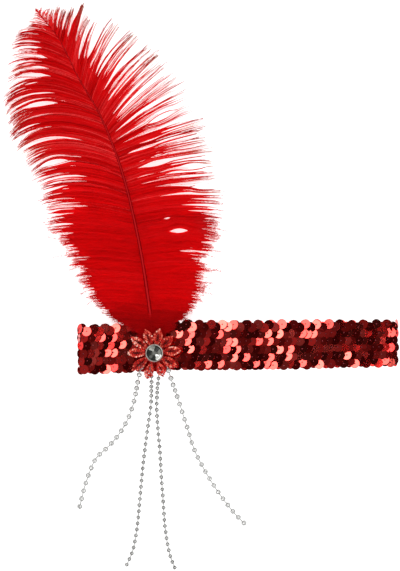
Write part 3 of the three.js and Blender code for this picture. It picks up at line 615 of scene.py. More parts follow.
def tube(name, line, radii, resolution=2):
    """A closed tube along a line, with a radius for each of its points."""
    curve = bpy.data.curves.new(name, "CURVE")
    curve.dimensions = "3D"
    curve.bevel_depth = 1
    curve.bevel_resolution = resolution
    curve.use_fill_caps = True
    spline = curve.splines.new("POLY")
    spline.points.add(len(line) - 1)
    for point, place, radius in zip(spline.points, line, radii):
        point.co = (*place, 1)
        point.radius = radius
    obj = bpy.data.objects.new(name, curve)
    bpy.context.collection.objects.link(obj)
    pick(obj)
    bpy.ops.object.convert(target="MESH")
    tube_obj = bpy.context.object
    weld(tube_obj)
    smooth(tube_obj, 60)
    return tube_obj


def weld(obj, distance=0.0001 * MM):
    pick(obj)
    bpy.ops.object.mode_set(mode="EDIT")
    bpy.ops.mesh.select_all(action="SELECT")
    bpy.ops.mesh.remove_doubles(threshold=distance)
    bpy.ops.mesh.normals_make_consistent(inside=False)
    bpy.ops.object.mode_set(mode="OBJECT")


def make_bead(diameter, segments, rings, length):
    """A round bead with its hole along X, and a length as a share of its diameter."""
    deselect_all()
    bpy.ops.mesh.primitive_uv_sphere_add(
        segments=segments, ring_count=rings, radius=diameter / 2, rotation=(0, math.pi / 2, 0))
    bead = bpy.context.object
    bead.scale = (1, 1, length)
    apply_place(bead)
    for vertex in bead.data.vertices:
        reach = abs(vertex.co.x) / (diameter * length / 2)
        vertex.co.x *= 1 - 0.14 * ease(0.75, 1, reach)
    smooth(bead, 80)
    return bead


def turned_to(axis_x, axis_z):
    """The Euler turn that takes X and Z to the given directions."""
    z = Vector(axis_z).normalized()
    y = z.cross(Vector(axis_x)).normalized()
    x = y.cross(z)
    return Matrix((x, y, z)).transposed().to_euler()


def strew(name, source, places, turns, sizes, tints):
    """Copies of one small model at many places, realized as a single mesh."""
    obj = mesh_object(name, places)
    attributes = obj.data.attributes
    flat_turns = [value for turn in turns for value in turn]
    attributes.new("turn", "FLOAT_VECTOR", "POINT").data.foreach_set("vector", flat_turns)
    attributes.new("size", "FLOAT", "POINT").data.foreach_set("value", list(sizes))
    attributes.new("tint", "FLOAT", "POINT").data.foreach_set("value", list(tints))

    group = bpy.data.node_groups.new(name, "GeometryNodeTree")
    group.interface.new_socket("Geometry", in_out="INPUT", socket_type="NodeSocketGeometry")
    group.interface.new_socket("Geometry", in_out="OUTPUT", socket_type="NodeSocketGeometry")
    nodes = group.nodes
    start = nodes.new("NodeGroupInput")
    end = nodes.new("NodeGroupOutput")
    model = nodes.new("GeometryNodeObjectInfo")
    model.inputs["Object"].default_value = source
    turn = nodes.new("GeometryNodeInputNamedAttribute")
    turn.data_type = "FLOAT_VECTOR"
    turn.inputs["Name"].default_value = "turn"
    size = nodes.new("GeometryNodeInputNamedAttribute")
    size.data_type = "FLOAT"
    size.inputs["Name"].default_value = "size"
    copies = nodes.new("GeometryNodeInstanceOnPoints")
    real = nodes.new("GeometryNodeRealizeInstances")
    link = group.links.new
    link(start.outputs[0], copies.inputs["Points"])
    link(model.outputs["Geometry"], copies.inputs["Instance"])
    link(turn.outputs["Attribute"], copies.inputs["Rotation"])
    link(size.outputs["Attribute"], copies.inputs["Scale"])
    link(copies.outputs["Instances"], real.inputs["Geometry"])
    link(real.outputs["Geometry"], end.inputs[0])
    modifier = obj.modifiers.new("copies", "NODES")
    modifier.node_group = group
    apply_modifiers(obj)
    bpy.data.node_groups.remove(group)
    return obj


# Materials

def new_material(name, **sockets):
    """A Principled material, with the values that are the same all over it."""
    material = bpy.data.materials.new(name)
    material.use_nodes = True
    shader = material.node_tree.nodes["Principled BSDF"]
    for socket, value in sockets.items():
        key = socket.replace("_", " ").title().replace("Ior", "IOR")
        shader.inputs[key].default_value = (*value, 1) if isinstance(value, tuple) else value
    return material, material.node_tree.nodes, material.node_tree.links, shader


def attribute_node(nodes, name):
    node = nodes.new("ShaderNodeAttribute")
    node.attribute_name = name
    return node


def colour_ramp(nodes, links, factor, stops):
    """A ramp from a list of (place, colour) pairs."""
    ramp = nodes.new("ShaderNodeValToRGB")
    elements = ramp.color_ramp.elements
    while len(elements) < len(stops):
        elements.new(0.5)
    for element, (place, colour) in zip(elements, stops):
        element.position = place
        element.color = (*colour, 1)
    links.new(factor, ramp.inputs["Fac"])
    return ramp


def noise_node(nodes, links, scale, detail=3.0):
    """Noise on the piece's own coordinates."""
    place = nodes.new("ShaderNodeTexCoord")
    noise = nodes.new("ShaderNodeTexNoise")
    noise.inputs["Scale"].default_value = scale
    noise.inputs["Detail"].default_value = detail
    links.new(place.outputs["Object"], noise.inputs["Vector"])
    return noise


def bump_node(nodes, links, height, shader, strength, depth):
    bump = nodes.new("ShaderNodeBump")
    bump.inputs["Strength"].default_value = strength
    bump.inputs["Distance"].default_value = depth
    links.new(height, bump.inputs["Height"])
    links.new(bump.outputs["Normal"], shader.inputs["Normal"])


def shade(colour, factor):
    return tuple(min(1.0, c * factor) for c in colour)


def foil_material(colour):
    """Metallised red film under clear lacquer, a little different on each sequin, and painted
    paler on the sequins that catch the light: a painted highlight.
    """
    material, nodes, links, shader = new_material(
        "sequin_foil", metallic=1.0, roughness=0.09, coat_weight=0.25, coat_roughness=0.05)
    tint = attribute_node(nodes, "tint")
    # The ramp's top stop is a painted highlight: paler foil for the sequins that catch the light.
    ramp = colour_ramp(nodes, links, tint.outputs["Fac"], [
        (0.0, (colour[0], 0.7 * colour[1], 0.7 * colour[2])), (0.5, colour),
        (1.0, (colour[0], 3.8 * colour[1], 3.6 * colour[2]))])
    links.new(ramp.outputs["Color"], shader.inputs["Base Color"])
    warp = noise_node(nodes, links, 120.0, 0.0)
    bump_node(nodes, links, warp.outputs["Fac"], shader, 0.12, 0.0003)
    return material


def knit_material(name, colour, scale):
    """Knitted elastic or felt: fine mottled relief, matt."""
    material, nodes, links, shader = new_material(name, roughness=0.92, sheen_weight=0.3)
    noise = noise_node(nodes, links, scale, 5.0)
    ramp = colour_ramp(nodes, links, noise.outputs["Fac"], [
        (0.3, shade(colour, 0.55)), (0.7, shade(colour, 1.3))])
    links.new(ramp.outputs["Color"], shader.inputs["Base Color"])
    bump_node(nodes, links, noise.outputs["Fac"], shader, 0.6, 0.0003)
    return material


def barb_material(deep, edge):
    """Dyed barbs: darker or brighter from lock to lock, the locks nearest the band darker as
    painted shade, duller at their tips.
    """
    material, nodes, links, shader = new_material(
        "dyed_barbs", roughness=0.75, specular_ior_level=0.06)
    share = attribute_node(nodes, "share")
    along = colour_ramp(nodes, links, share.outputs["Fac"], [
        (0.0, shade(deep, 0.9)), (0.2, deep), (0.55, deep), (0.98, edge)])
    tint = attribute_node(nodes, "tint")
    tone = colour_ramp(nodes, links, tint.outputs["Fac"], [
        (0.0, (0.5, 0.6, 0.6)), (0.45, (1, 1, 1)),
        (0.75, (1.05, 10.0, 5.0)), (1.0, (1.2, 75.0, 28.0))])
    blend = nodes.new("ShaderNodeMixRGB")
    blend.blend_type = "MULTIPLY"
    blend.inputs["Fac"].default_value = 1.0
    links.new(along.outputs["Color"], blend.inputs["Color1"])
    links.new(tone.outputs["Color"], blend.inputs["Color2"])
    links.new(blend.outputs["Color"], shader.inputs["Base Color"])
    return material


def shaft_material():
    """The quill: horn dyed a brownish red, painted paler where it faces up and darker along its
    sides: painted light and shade.
    """
    material, nodes, links, shader = new_material(
        "dyed_quill", roughness=1.0, specular_ior_level=0.0)
    painted_top_light = attribute_node(nodes, "painted_top_light")
    ramp = colour_ramp(nodes, links, painted_top_light.outputs["Fac"], [
        (0.4, (0.17, 0.001, 0.003)), (0.8, (0.24, 0.001, 0.003)), (0.95, (0.36, 0.008, 0.009))])
    links.new(ramp.outputs["Color"], shader.inputs["Base Color"])
    grain = noise_node(nodes, links, 900.0)
    bump_node(nodes, links, grain.outputs["Fac"], shader, 0.3, 0.0002)
    return material


def seed_bead_material(colour):
    """Red glass lined with foil. The tint makes each bead a little lighter or darker, paints the
    inner loops dark as painted shade and the tips of some petals brighter or darker as painted
    light and shade, and turns the highest tints pale pink as painted glints.
    """
    material, nodes, links, shader = new_material(
        "red_seed_glass", roughness=0.3, metallic=0.5, specular_ior_level=0.2)
    tint = attribute_node(nodes, "tint")
    # Low tints are painted shade; the two highest stops are painted glints.
    ramp = colour_ramp(nodes, links, tint.outputs["Fac"], [
        (0.0, shade(colour, 0.12)), (0.3, shade(colour, 0.3)), (0.65, colour),
        (0.88, (0.9, 0.2, 0.13)), (1.0, (0.95, 0.6, 0.5))])
    links.new(ramp.outputs["Color"], shader.inputs["Base Color"])
    return material


def silver_material(name, colour, roughness, metallic):
    """Silver plate, or glass lined with it, with a slightly uneven polish."""
    material, nodes, links, shader = new_material(
        name, metallic=metallic, specular_tint=(0.2, 0.2, 0.2))
    patch = noise_node(nodes, links, 380.0)
    polish = colour_ramp(nodes, links, patch.outputs["Fac"], [
        (0.3, (roughness,) * 3), (0.8, (roughness * 1.8,) * 3)])
    links.new(polish.outputs["Color"], shader.inputs["Roughness"])
    wear = colour_ramp(nodes, links, patch.outputs["Fac"], [
        (0.25, shade(colour, 0.82)), (0.6, colour)])
    links.new(wear.outputs["Color"], shader.inputs["Base Color"])
    return material


def stone_material():
    """A clear cut stone over foil, with painted reflections: the depth attribute paints some
    facets bright and others dark.
    """
    material, nodes, links, shader = new_material(
        "clear_stone", roughness=0.25, specular_ior_level=0.15)
    depth = attribute_node(nodes, "depth")
    ramp = colour_ramp(nodes, links, depth.outputs["Fac"], [
        (0.0, (0.004, 0.005, 0.004)), (0.5, (0.26, 0.26, 0.23)), (0.9, (0.92, 0.92, 0.88))])
    links.new(ramp.outputs["Color"], shader.inputs["Base Color"])
    return material


def thread_material(name, colour):
    """Matt spun thread."""
    material, nodes, links, shader = new_material(name, roughness=0.7)
    twist = noise_node(nodes, links, 1500.0)
    ramp = colour_ramp(nodes, links, twist.outputs["Fac"], [
        (0.3, shade(colour, 0.7)), (0.7, shade(colour, 1.3))])
    links.new(ramp.outputs["Color"], shader.inputs["Base Color"])
    return material


def floor_material():
    """A light table: it glows a little, so that no shadow falls on it."""
    material, nodes, links, shader = new_material(
        "pale_floor", roughness=0.9, emission_color=(1.0, 1.0, 1.0), emission_strength=0.8)
    soft = noise_node(nodes, links, 3.0, 1.0)
    ramp = colour_ramp(nodes, links, soft.outputs["Fac"], [
        (0.0, (0.55, 0.55, 0.55)), (1.0, (0.6, 0.6, 0.6))])
    links.new(ramp.outputs["Color"], shader.inputs["Base Color"])
    return material


# The band

def band_line(x):
    """How far the middle of the band's width lies off the X axis."""
    bend = BAND_LOW[0] + BAND_DROOP_REACH
    droop = BAND_DROOP * ease(0, BAND_DROOP_REACH, bend - x)
    return RIGHT_END_RISE * ease(0, BAND_HIGH[0], x) - droop


def band_squeeze(x):
    """How much closer the rows lie towards the right end."""
    return 1 - RIGHT_END_NARROWING * ease(0, BAND_HIGH[0], x)


def band_place(distance, offset):
    """A place round the loop, an offset out from the middle of the wall, with the way out."""
    straight = 2 * HALF_STRAIGHT
    fold = math.pi * FOLD_RADIUS
    distance %= LOOP_LENGTH
    middle = BAND_WALL / 2 + FOLD_RADIUS
    if distance < straight:
        x, z, out = distance - HALF_STRAIGHT, BAND_WALL / 2, Vector((0, 0, -1))
    elif distance < straight + fold:
        turn = (distance - straight) / FOLD_RADIUS - math.pi / 2
        out = Vector((math.cos(turn), 0, math.sin(turn)))
        x, z = HALF_STRAIGHT + FOLD_RADIUS * out.x, middle + FOLD_RADIUS * out.z
    elif distance < 2 * straight + fold:
        x = HALF_STRAIGHT - (distance - straight - fold)
        lift = END_LIFT * ease(HALF_STRAIGHT - END_LIFT_REACH, HALF_STRAIGHT, abs(x))
        z, out = BAND_WALL / 2 + 2 * LAYER_RADIUS + lift, Vector((0, 0, 1))
    else:
        turn = (distance - 2 * straight - fold) / FOLD_RADIUS + math.pi / 2
        out = Vector((math.cos(turn), 0, math.sin(turn)))
        x, z = -HALF_STRAIGHT + FOLD_RADIUS * out.x, middle + FOLD_RADIUS * out.z
    return Vector((x, band_line(x), z)) + offset * out, out


class HEADBAND_OT_elastic(bpy.types.Operator):
    """Model the elastic loop that the sequins are sewn to"""
    bl_idname = "headband.elastic"
    bl_label = "Elastic"

    def execute(self, context):
        settings = context.scene.headband_band
        width = settings.row_pitch * (settings.rows - 1) + settings.sequin_diameter * 0.5
        deselect_all()
        bpy.ops.mesh.primitive_grid_add(x_subdivisions=260, y_subdivisions=10, size=1)
        elastic = context.object
        for vertex in elastic.data.vertices:
            around, across = vertex.co.x + 0.5, vertex.co.y
            place, _ = band_place(around * LOOP_LENGTH, ELASTIC_OFFSET)
            place.y += across * width * band_squeeze(place.x)
            vertex.co = place
        weld(elastic, 0.01 * MM)
        wall = elastic.modifiers.new("wall", "SOLIDIFY")
        wall.thickness = ELASTIC_THICKNESS
        wall.offset = 0
        apply_modifiers(elastic)
        smooth(elastic)
        material = knit_material("knitted_elastic", tuple(settings.elastic), 1400.0)
        settle(elastic, "elastic_loop", material, "elastic", "sequin_band")
        around = 4 * HALF_STRAIGHT + 2 * math.pi * (FOLD_RADIUS + ELASTIC_OFFSET)
        return {"FINISHED"}


def make_sequin(diameter):
    """One flat sequin: a thin disc with a small hole."""
    deselect_all()
    radius = diameter / 2
    bpy.ops.mesh.primitive_circle_add(vertices=18, radius=radius, fill_type="NGON")
    sequin = bpy.context.object
    bpy.ops.object.mode_set(mode="EDIT")
    bpy.ops.mesh.inset(thickness=radius * (1 - SEQUIN_HOLE))
    bpy.ops.mesh.delete(type="FACE")
    bpy.ops.object.mode_set(mode="OBJECT")
    film = sequin.modifiers.new("film", "SOLIDIFY")
    film.thickness = SEQUIN_FILM
    film.offset = 0
    apply_modifiers(sequin)
    return sequin


def make_stitch():
    """The knot of thread that holds a sequin, as it shows in the hole."""
    deselect_all()
    bpy.ops.mesh.primitive_ico_sphere_add(subdivisions=1, radius=0.6 * MM)
    stitch = bpy.context.object
    stitch.scale = (1.15, 1, 0.4)
    apply_place(stitch)
    return stitch


def sequin_spots(settings, rng):
    """Places, turns and tints of all the sequins, front layer and back layer."""
    count = round(LOOP_LENGTH / settings.sequin_pitch)
    places, outs, unders = [], [], []
    for row in range(settings.rows):
        across = (row - (settings.rows - 1) / 2) * settings.row_pitch
        edge = (row == settings.rows - 1) - (row == 0)
        for i in range(count):
            distance = (i + 0.5 * (row % 2) + rng.uniform(-0.15, 0.15)) * LOOP_LENGTH / count
            place, out = band_place(distance, 0)
            first, step = FRONT_STAND if out.z > 0 else BACK_STAND
            place += (first + step * row + rng.uniform(0, 0.12)) * MM * out
            stray = edge * (1.0 if i % 2 else -0.9) + rng.uniform(-0.4, 0.4)
            place.y += across * band_squeeze(place.x) + stray * MM
            places.append(place)
            outs.append(out)
            unders.append(out.cross(Vector((0, 1, 0))))
    fronts = [place.z > BAND_TOP / 2 + BAND_WALL / 2 for place in places]
    lit = set()
    for x, y in GLINTS:
        near = [i for i, front in enumerate(fronts) if front]
        lit.add(min(near, key=lambda i: math.hypot(places[i].x - x * MM, places[i].y - y * MM)))
    spots = {"front": [], "back": []}
    for i, (place, out, under) in enumerate(zip(places, outs, unders)):
        lean = settings.tilt * np.clip(rng.normal(1, 0.25), 0.6, 1.4)
        roll = math.radians(np.clip(rng.normal(3, 3), -4, 9))
        if not fronts[i]:
            lean, roll = BACK_TILT * lean, BACK_TILT * roll
        if i in lit:
            lean = math.radians(rng.uniform(*GLINT_LEAN))
            roll = math.radians(rng.uniform(*GLINT_ROLL))
        facing = (out + under * math.tan(lean) + Vector((0, 1, 0)) * math.tan(roll)).normalized()
        low = place.z - settings.sequin_diameter / 2 * math.hypot(facing.x, facing.y)
        place.z += max(0.0, SEQUIN_CLEARANCE - low)
        turn = turned_to(under, facing)
        # Painted highlight: the sequins that catch the light get the higher, paler tints.
        tint = rng.uniform(*(GLINT_TINT if i in lit else DULL_TINT))
        spots["front" if fronts[i] else "back"].append((place, turn, tint))
    return spots


class HEADBAND_OT_sequins(bpy.types.Operator):
    """Sew the overlapping rows of sequins on the elastic"""
    bl_idname = "headband.sequins"
    bl_label = "Sequins"

    def execute(self, context):
        settings = context.scene.headband_band
        rng = np.random.default_rng(7)
        sequin = make_sequin(settings.sequin_diameter)
        stitch = make_stitch()
        foil = foil_material(tuple(settings.foil))
        thread = thread_material("red_thread", (0.2, 0.012, 0.02))
        for layer, spots in sequin_spots(settings, rng).items():
            places, turns, tints = zip(*spots)
            same = [1.0] * len(spots)
            piece = strew(f"sequins_{layer}", sequin, places, turns, same, tints)
            settle(piece, f"sequins_{layer}", foil, "sequins", "sequin_band")
            sizes = [mix(0.4, 1, tint) for tint in tints]
            piece = strew(f"stitches_{layer}", stitch, places, turns, sizes, tints)
            settle(piece, f"stitches_{layer}", thread, "thread", "sequin_band")
            smooth(piece, 80)
        drop(sequin)
        drop(stitch)
        return {"FINISHED"}


# The plume

def shaft_line():
    line = [(row["across"] * PLUME_LENGTH, row["along"] * PLUME_LENGTH, 0) for row in SHAFT_LINE]
    return catmull(line, SHAFT_STEPS)


def shaft_height(at):
    """Over the band at first, then sinking towards the floor and rising again to the tip."""
    sunk = mix(BAND_TOP + SHAFT_OVER_BAND, SHAFT_HEIGHT, ease(OFF_BAND, 0.5, at))
    return mix(sunk, TIP_HEIGHT, ease(0.8, 1, at))


class Shaft:
    """The shaft's line from above, with its height at any share of its length."""

    def __init__(self):
        self.line = shaft_line()
        self.run = lengths_along(self.line)
        self.length = self.run[-1]

    def point(self, at):
        place = point_at(self.line, at * self.length)
        return np.array([FLOWER.x + place[0], FLOWER.y + place[1], shaft_height(at)])


def looseness(at):
    """How far the locks lie apart at a share of the shaft: 0 in the fluff, 1 in the fronds."""
    return ease(0.25, 0.48, at)


def strands_of(side, shaft, rng):
    """Splits the locks of one side into the strands that their barbs cling together in."""
    locks = side["locks"]
    places = [lock["at"] for lock in locks]
    bows = [lock["bow"] for lock in locks]
    ends = np.array([(FLOWER.x + lock["x"] * MM, FLOWER.y + lock["y"] * MM) for lock in locks])
    bounds = [0.997] + [(a + b) / 2 for a, b in zip(places, places[1:])] + [places[-1] - 0.008]
    strands = []
    for i, (lock, high, low) in enumerate(zip(locks, bounds, bounds[1:])):
        edge = (ends[min(i + 1, len(ends) - 1)] - ends[max(i - 1, 0)]) / 2
        gap = np.linalg.norm(edge)
        chord = ends[i] - shaft.point(lock["at"])[:2]
        chord /= np.linalg.norm(chord)
        loose = looseness(lock["at"])
        risen = ease(*side["rises"], lock["at"])
        spread = mix(lock["spread"] * MM, gap, mix(*side["together"], risen))
        width = mix(gap, spread, loose)
        root = (high - low) * shaft.length
        spacing = mix(*STRAND_SPACING, loose) * MM
        count = max(1, round(max(width, 0.75 * root) / spacing))
        dense = mix(FLUFF["dense"], mix(*side["dense"], risen), loose)
        dense -= (dense - 0.2) * ease(0.87, 0.92, lock["at"])
        tight = mix(FLUFF["tight"], mix(*side["tight"], risen), loose)
        tight *= max(width / count / 2, LEAST_STRAND)
        if lock["full"] == 1:
            dense, tight = TALL_LOCK["dense"], TALL_LOCK["tight"]
        past = mix(side["fluff"], 0, loose)
        # Painted shade: the locks nearest the band get lower tints, which the finish paints
        # darker.
        shaded = 0.5 * (1 - ease(0.05, 0.17, lock["at"]))
        for k in range(count):
            share = (k + 0.5) / count
            at = mix(high, low, share)
            even = [np.interp(at, places[::-1], ends[::-1, axis]) for axis in (0, 1)]
            own = ends[i] + (share - 0.5) * width * edge / gap
            bow = mix(np.interp(at, places[::-1], bows[::-1]), lock["bow"], loose)
            gappy = side["gaps"] > 0 and rng.uniform() < side["gaps"] * loose
            strands.append({
                "high": mix(high, low, k / count),
                "low": mix(high, low, (k + 1) / count),
                "end": mix(np.array(even), own, loose)
                       + chord * (past - abs(rng.normal(0, mix(*RAGGEDNESS, loose)))) * MM,
                "bow": bow + rng.normal(0, mix(FLUFF["bow"], side["bow"], loose)),
                "full": lock["full"],
                "dense": rng.uniform(0.12, 0.35) if gappy else dense + rng.normal(0, 0.07),
                "tight": tight * rng.uniform(0.8, 1.3),
                "cling": rng.uniform(0.25, 0.7) * mix(FLUFF["cling"], side["cling"], loose),
                "tint": mix(*STRAND_TINT, loose)
                        + rng.uniform(-1, 1) * mix(*STRAND_TINT_RANGE, loose) - shaded,
            })
    return strands


def arc(root, end, bow, side, shares):
    """Points of a bowed line from a root to an end, at the given shares of it."""
    chord = end - root
    reach = np.linalg.norm(chord)
    heading = math.atan2(chord[1], chord[0])
    lean = math.radians(side["way"] * bow)
    droop = lean * side["droop"]
    start = 1.05 * reach * np.array([math.cos(heading + lean), math.sin(heading + lean)])
    finish = 1.05 * reach * np.array([math.cos(heading - droop), math.sin(heading - droop)])
    s = shares[:, None]
    return ((2 * s ** 3 - 3 * s ** 2 + 1) * root + (s ** 3 - 2 * s ** 2 + s) * start
            + (3 * s ** 2 - 2 * s ** 3) * end + (s ** 3 - s ** 2) * finish)


def smooth_steps(values, start, end):
    """The smooth step of each of many values."""
    shares = np.clip((values - start) / (end - start), 0, 1)
    return shares * shares * (3 - 2 * shares)


def part_round(flat):
    """Bends a line from above round the openings between the locks."""
    for gap in PARTINGS:
        turn = math.radians(gap["turn"])
        ahead = np.array([math.cos(turn), math.sin(turn)])
        aside = np.array([-ahead[1], ahead[0]])
        off = flat - (FLOWER.x + gap["x"] * MM, FLOWER.y + gap["y"] * MM)
        along = off @ ahead / (gap["long"] * MM)
        way = math.copysign(1, (off @ aside)[np.argmin(np.abs(along))])
        room = gap["wide"] * MM * np.clip(1 - along ** 2, 0, 1)
        near = np.clip(1 - way * (off @ aside) / (4 * gap["wide"] * MM), 0, 1.3)
        flat = flat + (way * room * near)[:, None] * aside
    return flat


def fullness(flat):
    """How full the locks are along a line from above: below 1 in the thin places."""
    full = np.ones(len(flat))
    for place in THIN_PLACES:
        off = flat - (FLOWER.x + place["x"] * MM, FLOWER.y + place["y"] * MM)
        inside = (off[:, 0] / (place["long"] * MM)) ** 2 + (off[:, 1] / (place["wide"] * MM)) ** 2
        full *= 1 - np.clip(place["open"] * (1.7 - inside), 0, 0.9)
    return full


def trace_barb(strand, side, at, shaft, rng):
    """Points along one barb, and how far along a full barb each of them is."""
    root = shaft.point(at)
    full = rng.uniform() < strand["full"]
    part = 1 - abs(rng.normal(0, 0.05)) if full else rng.uniform(*SHORT_BARB)
    loose = looseness(at)
    stray = rng.uniform() < mix(*STRAYS, loose)
    if stray:
        part += rng.uniform(0, LONGER_STRAY) * (1 - loose)
    shares = np.linspace(0, part, BARB_STEPS + 1)
    bow = strand["bow"] + rng.normal(0, STRAY_BOW if stray else BARB_BOW)
    end = strand["end"] + rng.normal(0, 0.6, 2) * MM
    flat = arc(root[:2], end, bow, side, shares)
    if full and not stray:
        middle = shaft.point((strand["high"] + strand["low"]) / 2)
        centre = arc(middle[:2], end, strand["bow"], side, shares)
        gather = strand["cling"] * smooth_steps(shares, 0.2, 0.7)[:, None]
        flat += (centre - flat) * gather + rng.normal(0, 0.5, 2) * MM * shares[:, None]
    on_floor = ease(OFF_BAND, ON_FLOOR, at)
    over_band = BAND_TOP + rng.uniform(*BARB_OVER_BAND) * MM
    low = mix(over_band, rng.uniform(*BARB_OVER_FLOOR) * MM, on_floor)
    arch = rng.uniform(*BARB_ARCH) * MM * on_floor
    start = max(root[2] + rng.uniform(*BARB_AT_SHAFT) * MM, low)
    start += BARBS_OVER_QUILL * (1 - ease(0.09, 0.12, at))
    height = start + (low - start) * shares ** 2 + arch * np.sin(math.pi * shares)
    height = np.maximum(height, BARB_LOWEST)
    return np.column_stack([part_round(flat), height]), shares


def strand_core(strand, side, shaft):
    """The dense middle of a strand: a flat closed blade that narrows to a point."""
    middle = (strand["high"] + strand["low"]) / 2
    root = shaft.point(middle)
    loose = looseness(middle)
    slim = loose * side["slim"]
    reach = mix(0.98, 0.93, slim) if strand["full"] >= 0.4 else 0.45 + 0.5 * strand["full"]
    shares = np.linspace(0, reach, CORE_STEPS + 1)
    flat = part_round(arc(root[:2], strand["end"], strand["bow"], side, shares))
    on_floor = ease(OFF_BAND, ON_FLOOR, middle)
    low = mix(BAND_TOP + CORE_OVER_BAND, CORE_OVER_FLOOR, on_floor)
    start = root[2] - CORE_UNDER_SHAFT
    height = start + (low - start) * shares ** 2 + CORE_ARCH * on_floor * np.sin(math.pi * shares)
    line = np.column_stack([flat, np.maximum(height, low)])
    side_way = across_of(np.gradient(line, axis=0))
    spacing = (strand["high"] - strand["low"]) * shaft.length
    gathered = smooth_steps(shares, strand["dense"] - 0.15, strand["dense"] + 0.25)
    half = mix(mix(*CORE_WIDTH, loose) * spacing, strand["tight"], gathered)
    half *= 1 - mix(0.1, 0.5, slim) * smooth_steps(shares, 0.65, 1)
    half *= fullness(flat) * (1 - 0.9 * smooth_steps(shares / reach, mix(0.74, 0.86, loose), 1))
    half = half[:, None]
    up = np.array([[0, 0, mix(*CORE_THICKNESS, loose) * MM]])
    rings = [line + half * side_way, line + up, line - half * side_way, line - up]
    points = np.stack(rings, axis=1).reshape(-1, 3)
    faces = [(0, 1, 2), (0, 2, 3)]
    for i in range(CORE_STEPS):
        for k in range(4):
            a, b = 4 * i + k, 4 * i + (k + 1) % 4
            faces += [(a, a + 4, b + 4), (a, b + 4, b)]
    last = 4 * CORE_STEPS
    faces += [(last, last + 2, last + 1), (last, last + 3, last + 2)]
    return points, np.array(faces), np.repeat(mix(*CORE_TONE, loose) * shares, 4)


def across_of(ahead):
    """Level directions square to the given ones."""
    side = np.stack([-ahead[:, 1], ahead[:, 0], np.zeros(len(ahead))], axis=1)
    return side / np.linalg.norm(side, axis=1)[:, None]


def barb_tube(line, shares, tones, thick, thin):
    """A three-sided closed tube that tapers along a line."""
    ahead = np.gradient(line, axis=0)
    ahead /= np.linalg.norm(ahead, axis=1)[:, None]
    side = across_of(ahead)
    up = np.cross(ahead, side)
    radius = mix(thick, thin, shares)[:, None]
    rings = []
    for k in range(3):
        turn = 2 * math.pi * k / 3 + math.pi / 2
        rings.append(line + radius * (math.cos(turn) * side + math.sin(turn) * up))
    points = np.stack(rings, axis=1).reshape(-1, 3)
    faces = [(0, 2, 1)]
    for i in range(len(line) - 1):
        for k in range(3):
            a, b = 3 * i + k, 3 * i + (k + 1) % 3
            faces += [(a, b, b + 3), (a, b + 3, a + 3)]
    last = 3 * (len(line) - 1)
    faces.append((last, last + 1, last + 2))
    return points, np.array(faces), np.repeat(tones, 3)


def barbules(line, tones, lengths, spacing, thickness, rng):
    """The hairs along both sides of a barb: thin closed slivers that point outwards."""
    run = lengths_along(line)
    count = max(2, int(run[-1] / spacing))
    place = np.sort(rng.uniform(0.01, 0.99, 2 * count)) * run[-1]

    def along(values, where):
        return np.interp(where, run, values)

    roots = np.stack([along(line[:, k], place) for k in range(3)], axis=1)
    ahead = np.stack([along(line[:, k], place + MM) - along(line[:, k], place - MM)
                      for k in range(3)], axis=1)
    ahead /= np.linalg.norm(ahead, axis=1)[:, None]
    side = across_of(ahead) * np.where(np.arange(len(place)) % 2, 1.0, -1.0)[:, None]
    lean = np.radians(rng.uniform(18, 55, len(place)))[:, None]
    rise = rng.uniform(-0.4, 0.4, len(place))[:, None] * np.array([[0, 0, 1.0]])
    way = ahead * np.cos(lean) + side * np.sin(lean) + rise
    way /= np.linalg.norm(way, axis=1)[:, None]
    reach = along(lengths, place) * rng.uniform(0.6, 1.2, len(place))
    tips = roots + way * reach[:, None]
    tips[:, 2] = np.maximum(tips[:, 2], 0.1 * MM)
    across = np.cross(way, ahead)
    across /= np.linalg.norm(across, axis=1)[:, None]
    down = np.cross(way, across)
    corners = []
    for k in range(3):
        turn = 2 * math.pi * k / 3
        corners.append(roots + thickness * (math.cos(turn) * across + math.sin(turn) * down))
    points = np.stack([*corners, tips], axis=1).reshape(-1, 3)
    base = 4 * np.arange(len(place))[:, None, None]
    faces = (base + np.array([[[0, 2, 1], [0, 1, 3], [1, 2, 3], [2, 0, 3]]])).reshape(-1, 3)
    return points, faces, np.repeat(along(tones, place), 4)


def joined_barbs(name, barbs):
    """One mesh from many small ones, each given as points, faces, shares and a tint."""
    points = np.concatenate([b[0] for b in barbs])
    starts = np.cumsum([0] + [len(b[0]) for b in barbs[:-1]])
    faces = np.concatenate([b[1] + start for b, start in zip(barbs, starts)])
    obj = mesh_object(name, points, faces.tolist())
    attributes = obj.data.attributes
    shares = np.concatenate([b[2] for b in barbs])
    tints = np.concatenate([np.full(len(b[0]), b[3]) for b in barbs])
    attributes.new("share", "FLOAT", "POINT").data.foreach_set("value", shares)
    attributes.new("tint", "FLOAT", "POINT").data.foreach_set("value", tints)
    return obj


